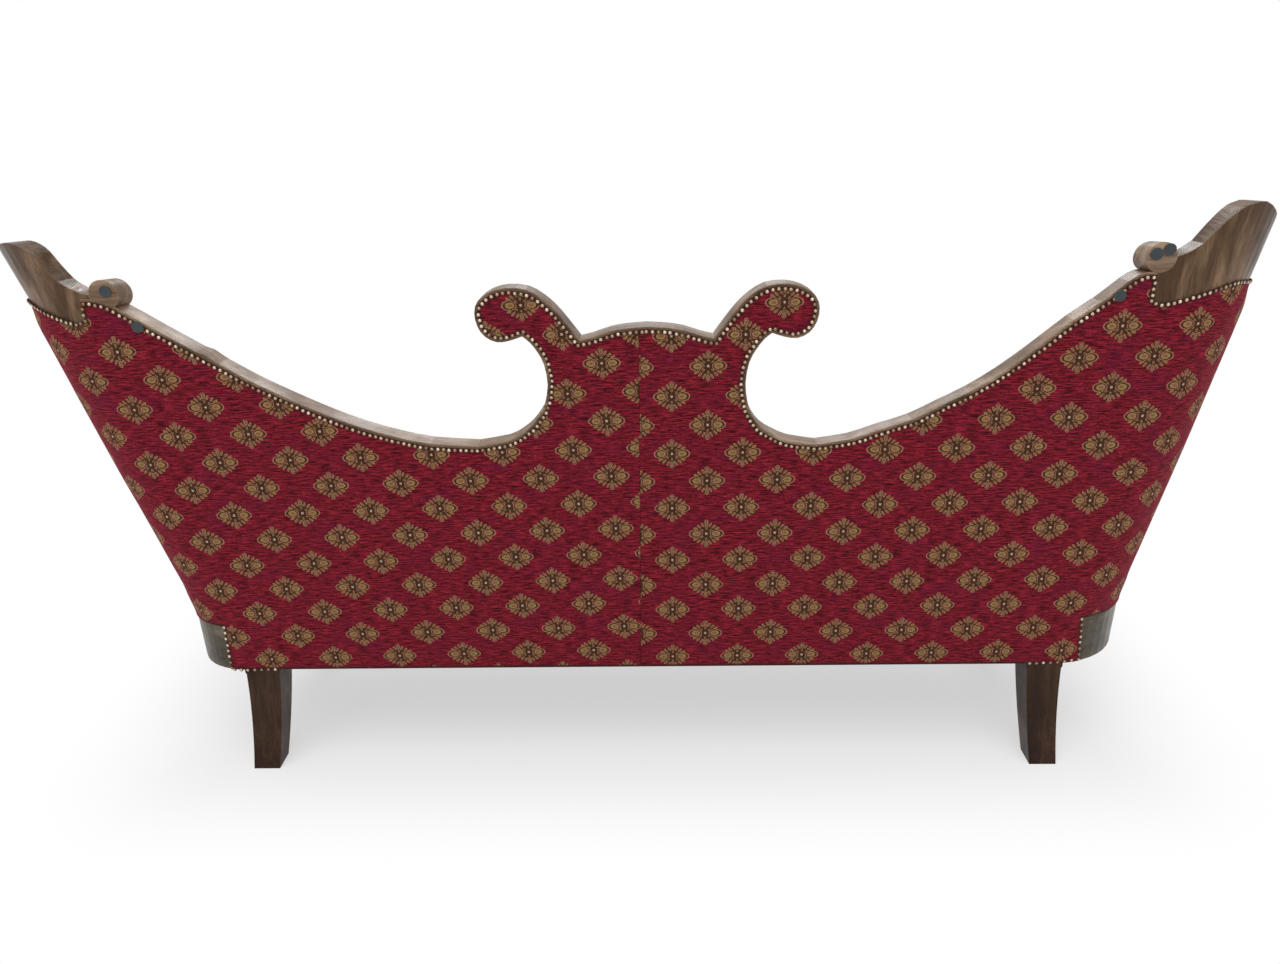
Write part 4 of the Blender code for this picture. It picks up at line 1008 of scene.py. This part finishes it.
def make_pads(material):
    def back_hold(points, normals):
        return normals[:, 1] > 0.35

    def arm_hold(points, normals):
        centre = ORIGIN.x
        outwards = normals[:, 0] * np.sign(points[:, 0] - centre)
        return (outwards > 0.35) | (normals[:, 1] > 0.6)

    def seat_hold(points, normals):
        return normals[:, 2] < -0.35

    make_pad(
        "inside_back", "inside_back_pad", voxel=0.010, shrink=0.003, hold=back_hold, pressure=3.0, cap=0.010,
        uv_of=shell_uv, material=material,
    )
    for side in SIDES:
        make_pad(
            "inside_arm_" + side["name"], "inside_arm_pad_" + side["name"], voxel=0.009, shrink=0.003,
            hold=arm_hold, pressure=3.0, cap=0.009, uv_of=shell_uv, material=material,
        )
    make_pad(
        "seat", "seat_pad", voxel=0.011, shrink=0.005, hold=seat_hold, pressure=4.0, cap=0.012,
        uv_of=seat_uv, material=material, reshape=seat_leaned,
    )


# Arm fronts


def lathe(name, profile, centre, axis, material, segments=48):
    """A turned piece: rings of radius and height along an axis."""
    turn = Vector(axis).to_track_quat("Z", "Y")
    bm = bmesh.new()
    rings = []
    for radius, height in profile:
        ring = []
        for k in range(segments):
            angle = 2 * math.pi * k / segments
            offset = Vector((radius * math.cos(angle), radius * math.sin(angle), height))
            ring.append(bm.verts.new(centre + turn @ offset))
        rings.append(ring)
    for lower, upper in zip(rings, rings[1:]):
        for k in range(segments):
            after = (k + 1) % segments
            bm.faces.new((lower[k], lower[after], upper[after], upper[k]))
    bm.faces.new(rings[-1])
    mesh = bpy.data.meshes.new(name)
    bm.to_mesh(mesh)
    bm.free()
    return new_piece(name, mesh, material)


def make_arm_buttons(material):
    """A turned boss in the eye of each arm's scroll."""
    profile = (
        (0.034, -0.001), (0.034, 0.0022), (0.0325, 0.0040), (0.030, 0.0044), (0.0285, 0.0030),
        (0.026, 0.0018), (0.022, 0.0016), (0.0205, 0.0040), (0.018, 0.0062), (0.014, 0.0080),
        (0.009, 0.0092), (0.003, 0.0097),
    )
    for side in SIDES:
        x = side_x(side, ARM_SCROLL_Z) - ARM_SCROLL_INSET
        centre = Vector((side["sign"] * x, FRONT_Y, ARM_SCROLL_Z)) + ORIGIN
        lathe("scroll_boss_" + side["name"], profile, centre, (0, -1, 0), material)


# Stage, light and camera


def make_stage():
    bpy.ops.mesh.primitive_plane_add(size=FLOOR_SIZE, location=(0, 0, 0))
    floor = bpy.context.object
    floor.name = "floor"
    graph = Graph("studio_floor")
    graph.put(graph.shader.inputs["Base Color"], FLOOR_GREY)
    graph.shader.inputs["Roughness"].default_value = 0.9
    graph.shader.inputs["Specular IOR Level"].default_value = 0.0
    rays = graph.add("LightPath")
    seen = graph.math("MAXIMUM", rays.outputs["Is Camera Ray"], rays.outputs["Is Glossy Ray"])
    seen = graph.math("MAXIMUM", seen, rays.outputs["Is Transmission Ray"])
    glow = graph.add("Emission", {"Color": (1, 1, 1), "Strength": graph.math("MULTIPLY", seen, 1.0)})
    middle = (ORIGIN.x, ORIGIN.y + FRONT_Y / 2, 0)
    at = graph.vector("SUBTRACT", graph.add("TexCoord").outputs["Object"], middle)
    beyond = graph.vector("SUBTRACT", graph.vector("ABSOLUTE", at), (HALF_LENGTH, -FRONT_Y / 2, 0))
    gap = graph.vector("LENGTH", graph.vector("MAXIMUM", beyond, (0, 0, 0)))
    share = graph.math("MULTIPLY", seen, graph.span(gap, 0.0, SHADOW_REACH, SHADOW_GLOW, 1.0))
    total = graph.add("MixShader", {0: share, 1: graph.shader.outputs[0], 2: glow.outputs[0]})
    graph.tree.links.new(total.outputs[0], graph.tree.nodes["Material Output"].inputs["Surface"])
    floor.data.materials.append(graph.material)


def make_light():
    world = bpy.data.worlds.new("studio")
    bpy.context.scene.world = world
    world.use_nodes = True
    tree = world.node_tree
    background = tree.nodes["Background"]
    rays = tree.nodes.new("ShaderNodeLightPath")
    either = tree.nodes.new("ShaderNodeMath")
    either.operation = "MAXIMUM"
    tree.links.new(rays.outputs["Is Camera Ray"], either.inputs[0])
    tree.links.new(rays.outputs["Is Glossy Ray"], either.inputs[1])
    through = tree.nodes.new("ShaderNodeMath")
    through.operation = "MAXIMUM"
    tree.links.new(either.outputs[0], through.inputs[0])
    tree.links.new(rays.outputs["Is Transmission Ray"], through.inputs[1])
    level = tree.nodes.new("ShaderNodeMapRange")
    level.inputs["To Min"].default_value = WORLD_LEVEL
    level.inputs["To Max"].default_value = 1.0
    tree.links.new(through.outputs[0], level.inputs["Value"])
    tree.links.new(level.outputs["Result"], background.inputs["Strength"])
    background.inputs["Color"].default_value = (1, 1, 1, 1)
    sun = bpy.data.lights.new("soft_key", "SUN")
    sun.energy = KEY_ENERGY
    sun.angle = KEY_ANGLE
    lamp = link(bpy.data.objects.new("soft_key", sun))
    lamp.rotation_euler = KEY_TURN
    fill = bpy.data.lights.new("front_fill", "SUN")
    fill.energy = FILL_ENERGY
    fill.angle = FILL_ANGLE
    lamp = link(bpy.data.objects.new("front_fill", fill))
    lamp.rotation_euler = FILL_TURN


def make_camera():
    right = np.array([-1.0, 0, 0])
    forward = np.array([0, -1.0, 0])
    down = np.array([0, 0, -1.0])
    cos, sin = math.cos(CAMERA_YAW), math.sin(CAMERA_YAW)
    right, forward = cos * right - sin * forward, sin * right + cos * forward
    cos, sin = math.cos(CAMERA_PITCH), math.sin(CAMERA_PITCH)
    forward, down = cos * forward + sin * down, -sin * forward + cos * down
    cos, sin = math.cos(CAMERA_ROLL), math.sin(CAMERA_ROLL)
    right, down = cos * right + sin * down, -sin * right + cos * down
    data = bpy.data.cameras.new("photo_view")
    data.lens = CAMERA_LENS
    data.sensor_width = CAMERA_SENSOR
    camera = link(bpy.data.objects.new("photo_view", data))
    turn = Matrix((right, -down, -forward)).transposed()
    camera.matrix_world = Matrix.Translation(Vector(CAMERA_PLACE) + ORIGIN) @ turn.to_4x4()
    bpy.context.scene.camera = camera


def dress_nodes(materials):
    """Gives each node of the frame its finish."""
    finishes = (
        ("crest_", "crest"), ("wing_", "wing"), ("arm_rail", "arm"), ("arm_front", "arm"), ("leg_", "leg"),
        ("seat_rail_left", "base"), ("seat_rail_right", "base"), ("seat_rail_front", "base"),
        ("seat_spring", "steel"), ("felt_pad", "felt"), ("seat_webbing", "web"), ("spring_canvas", "canvas"),
        ("bottom_cloth", "cambric"),
    )
    for name, node in NODES.items():
        found = next((finish for start, finish in finishes if name.startswith(start)), "beech")
        node.data.materials.clear()
        node.data.materials.append(materials[found])


def main():
    make_camera()
    make_light()
    make_stage()
    bpy.context.scene.view_settings.view_transform = "Standard"
    chenille = make_chenille()
    brass = make_brass()
    materials = {
        # Crest wood: a warmer tan of its own, with painted light that makes it lighter than the other show
        # wood
        "crest": make_wood("crest_wood_painted_lighter", "x", *CREST_COLOURS_WITH_PAINTED_LIGHT, 0.40),
        "wing": make_wood("wing_wood", "z", *WING_COLOURS, 0.32),
        "arm": make_wood("arm_wood", "y", *ARM_COLOURS, 0.32),
        "leg": make_wood("leg_wood", "z", *LEG_COLOURS, 0.34),
        "base": make_wood("base_wood", "x", *BASE_COLOURS, 0.30),
        "beech": make_wood("beech", "x", *BEECH_COLOURS, 0.62, wear=0.2),
        "steel": make_steel(),
        "felt": make_fibre("felt", (0.050, 0.062, 0.068), 900, (1, 1, 1)),
        "web": make_webbing(),
        "canvas": make_fibre("canvas", (0.42, 0.30, 0.17), 500, (1, 1, 1)),
        "cambric": make_fibre("cambric", (0.020, 0.020, 0.023), 700, (1, 1, 1), sheen=0.1),
    }
    dress_nodes(materials)
    for side in SIDES:
        make_cover(side, chenille)
    make_nails("outside_nails", outside_rows(), brass)
    make_pads(chenille)
    make_arm_buttons(materials["arm"])


main()
bpy.context.view_layer.update()
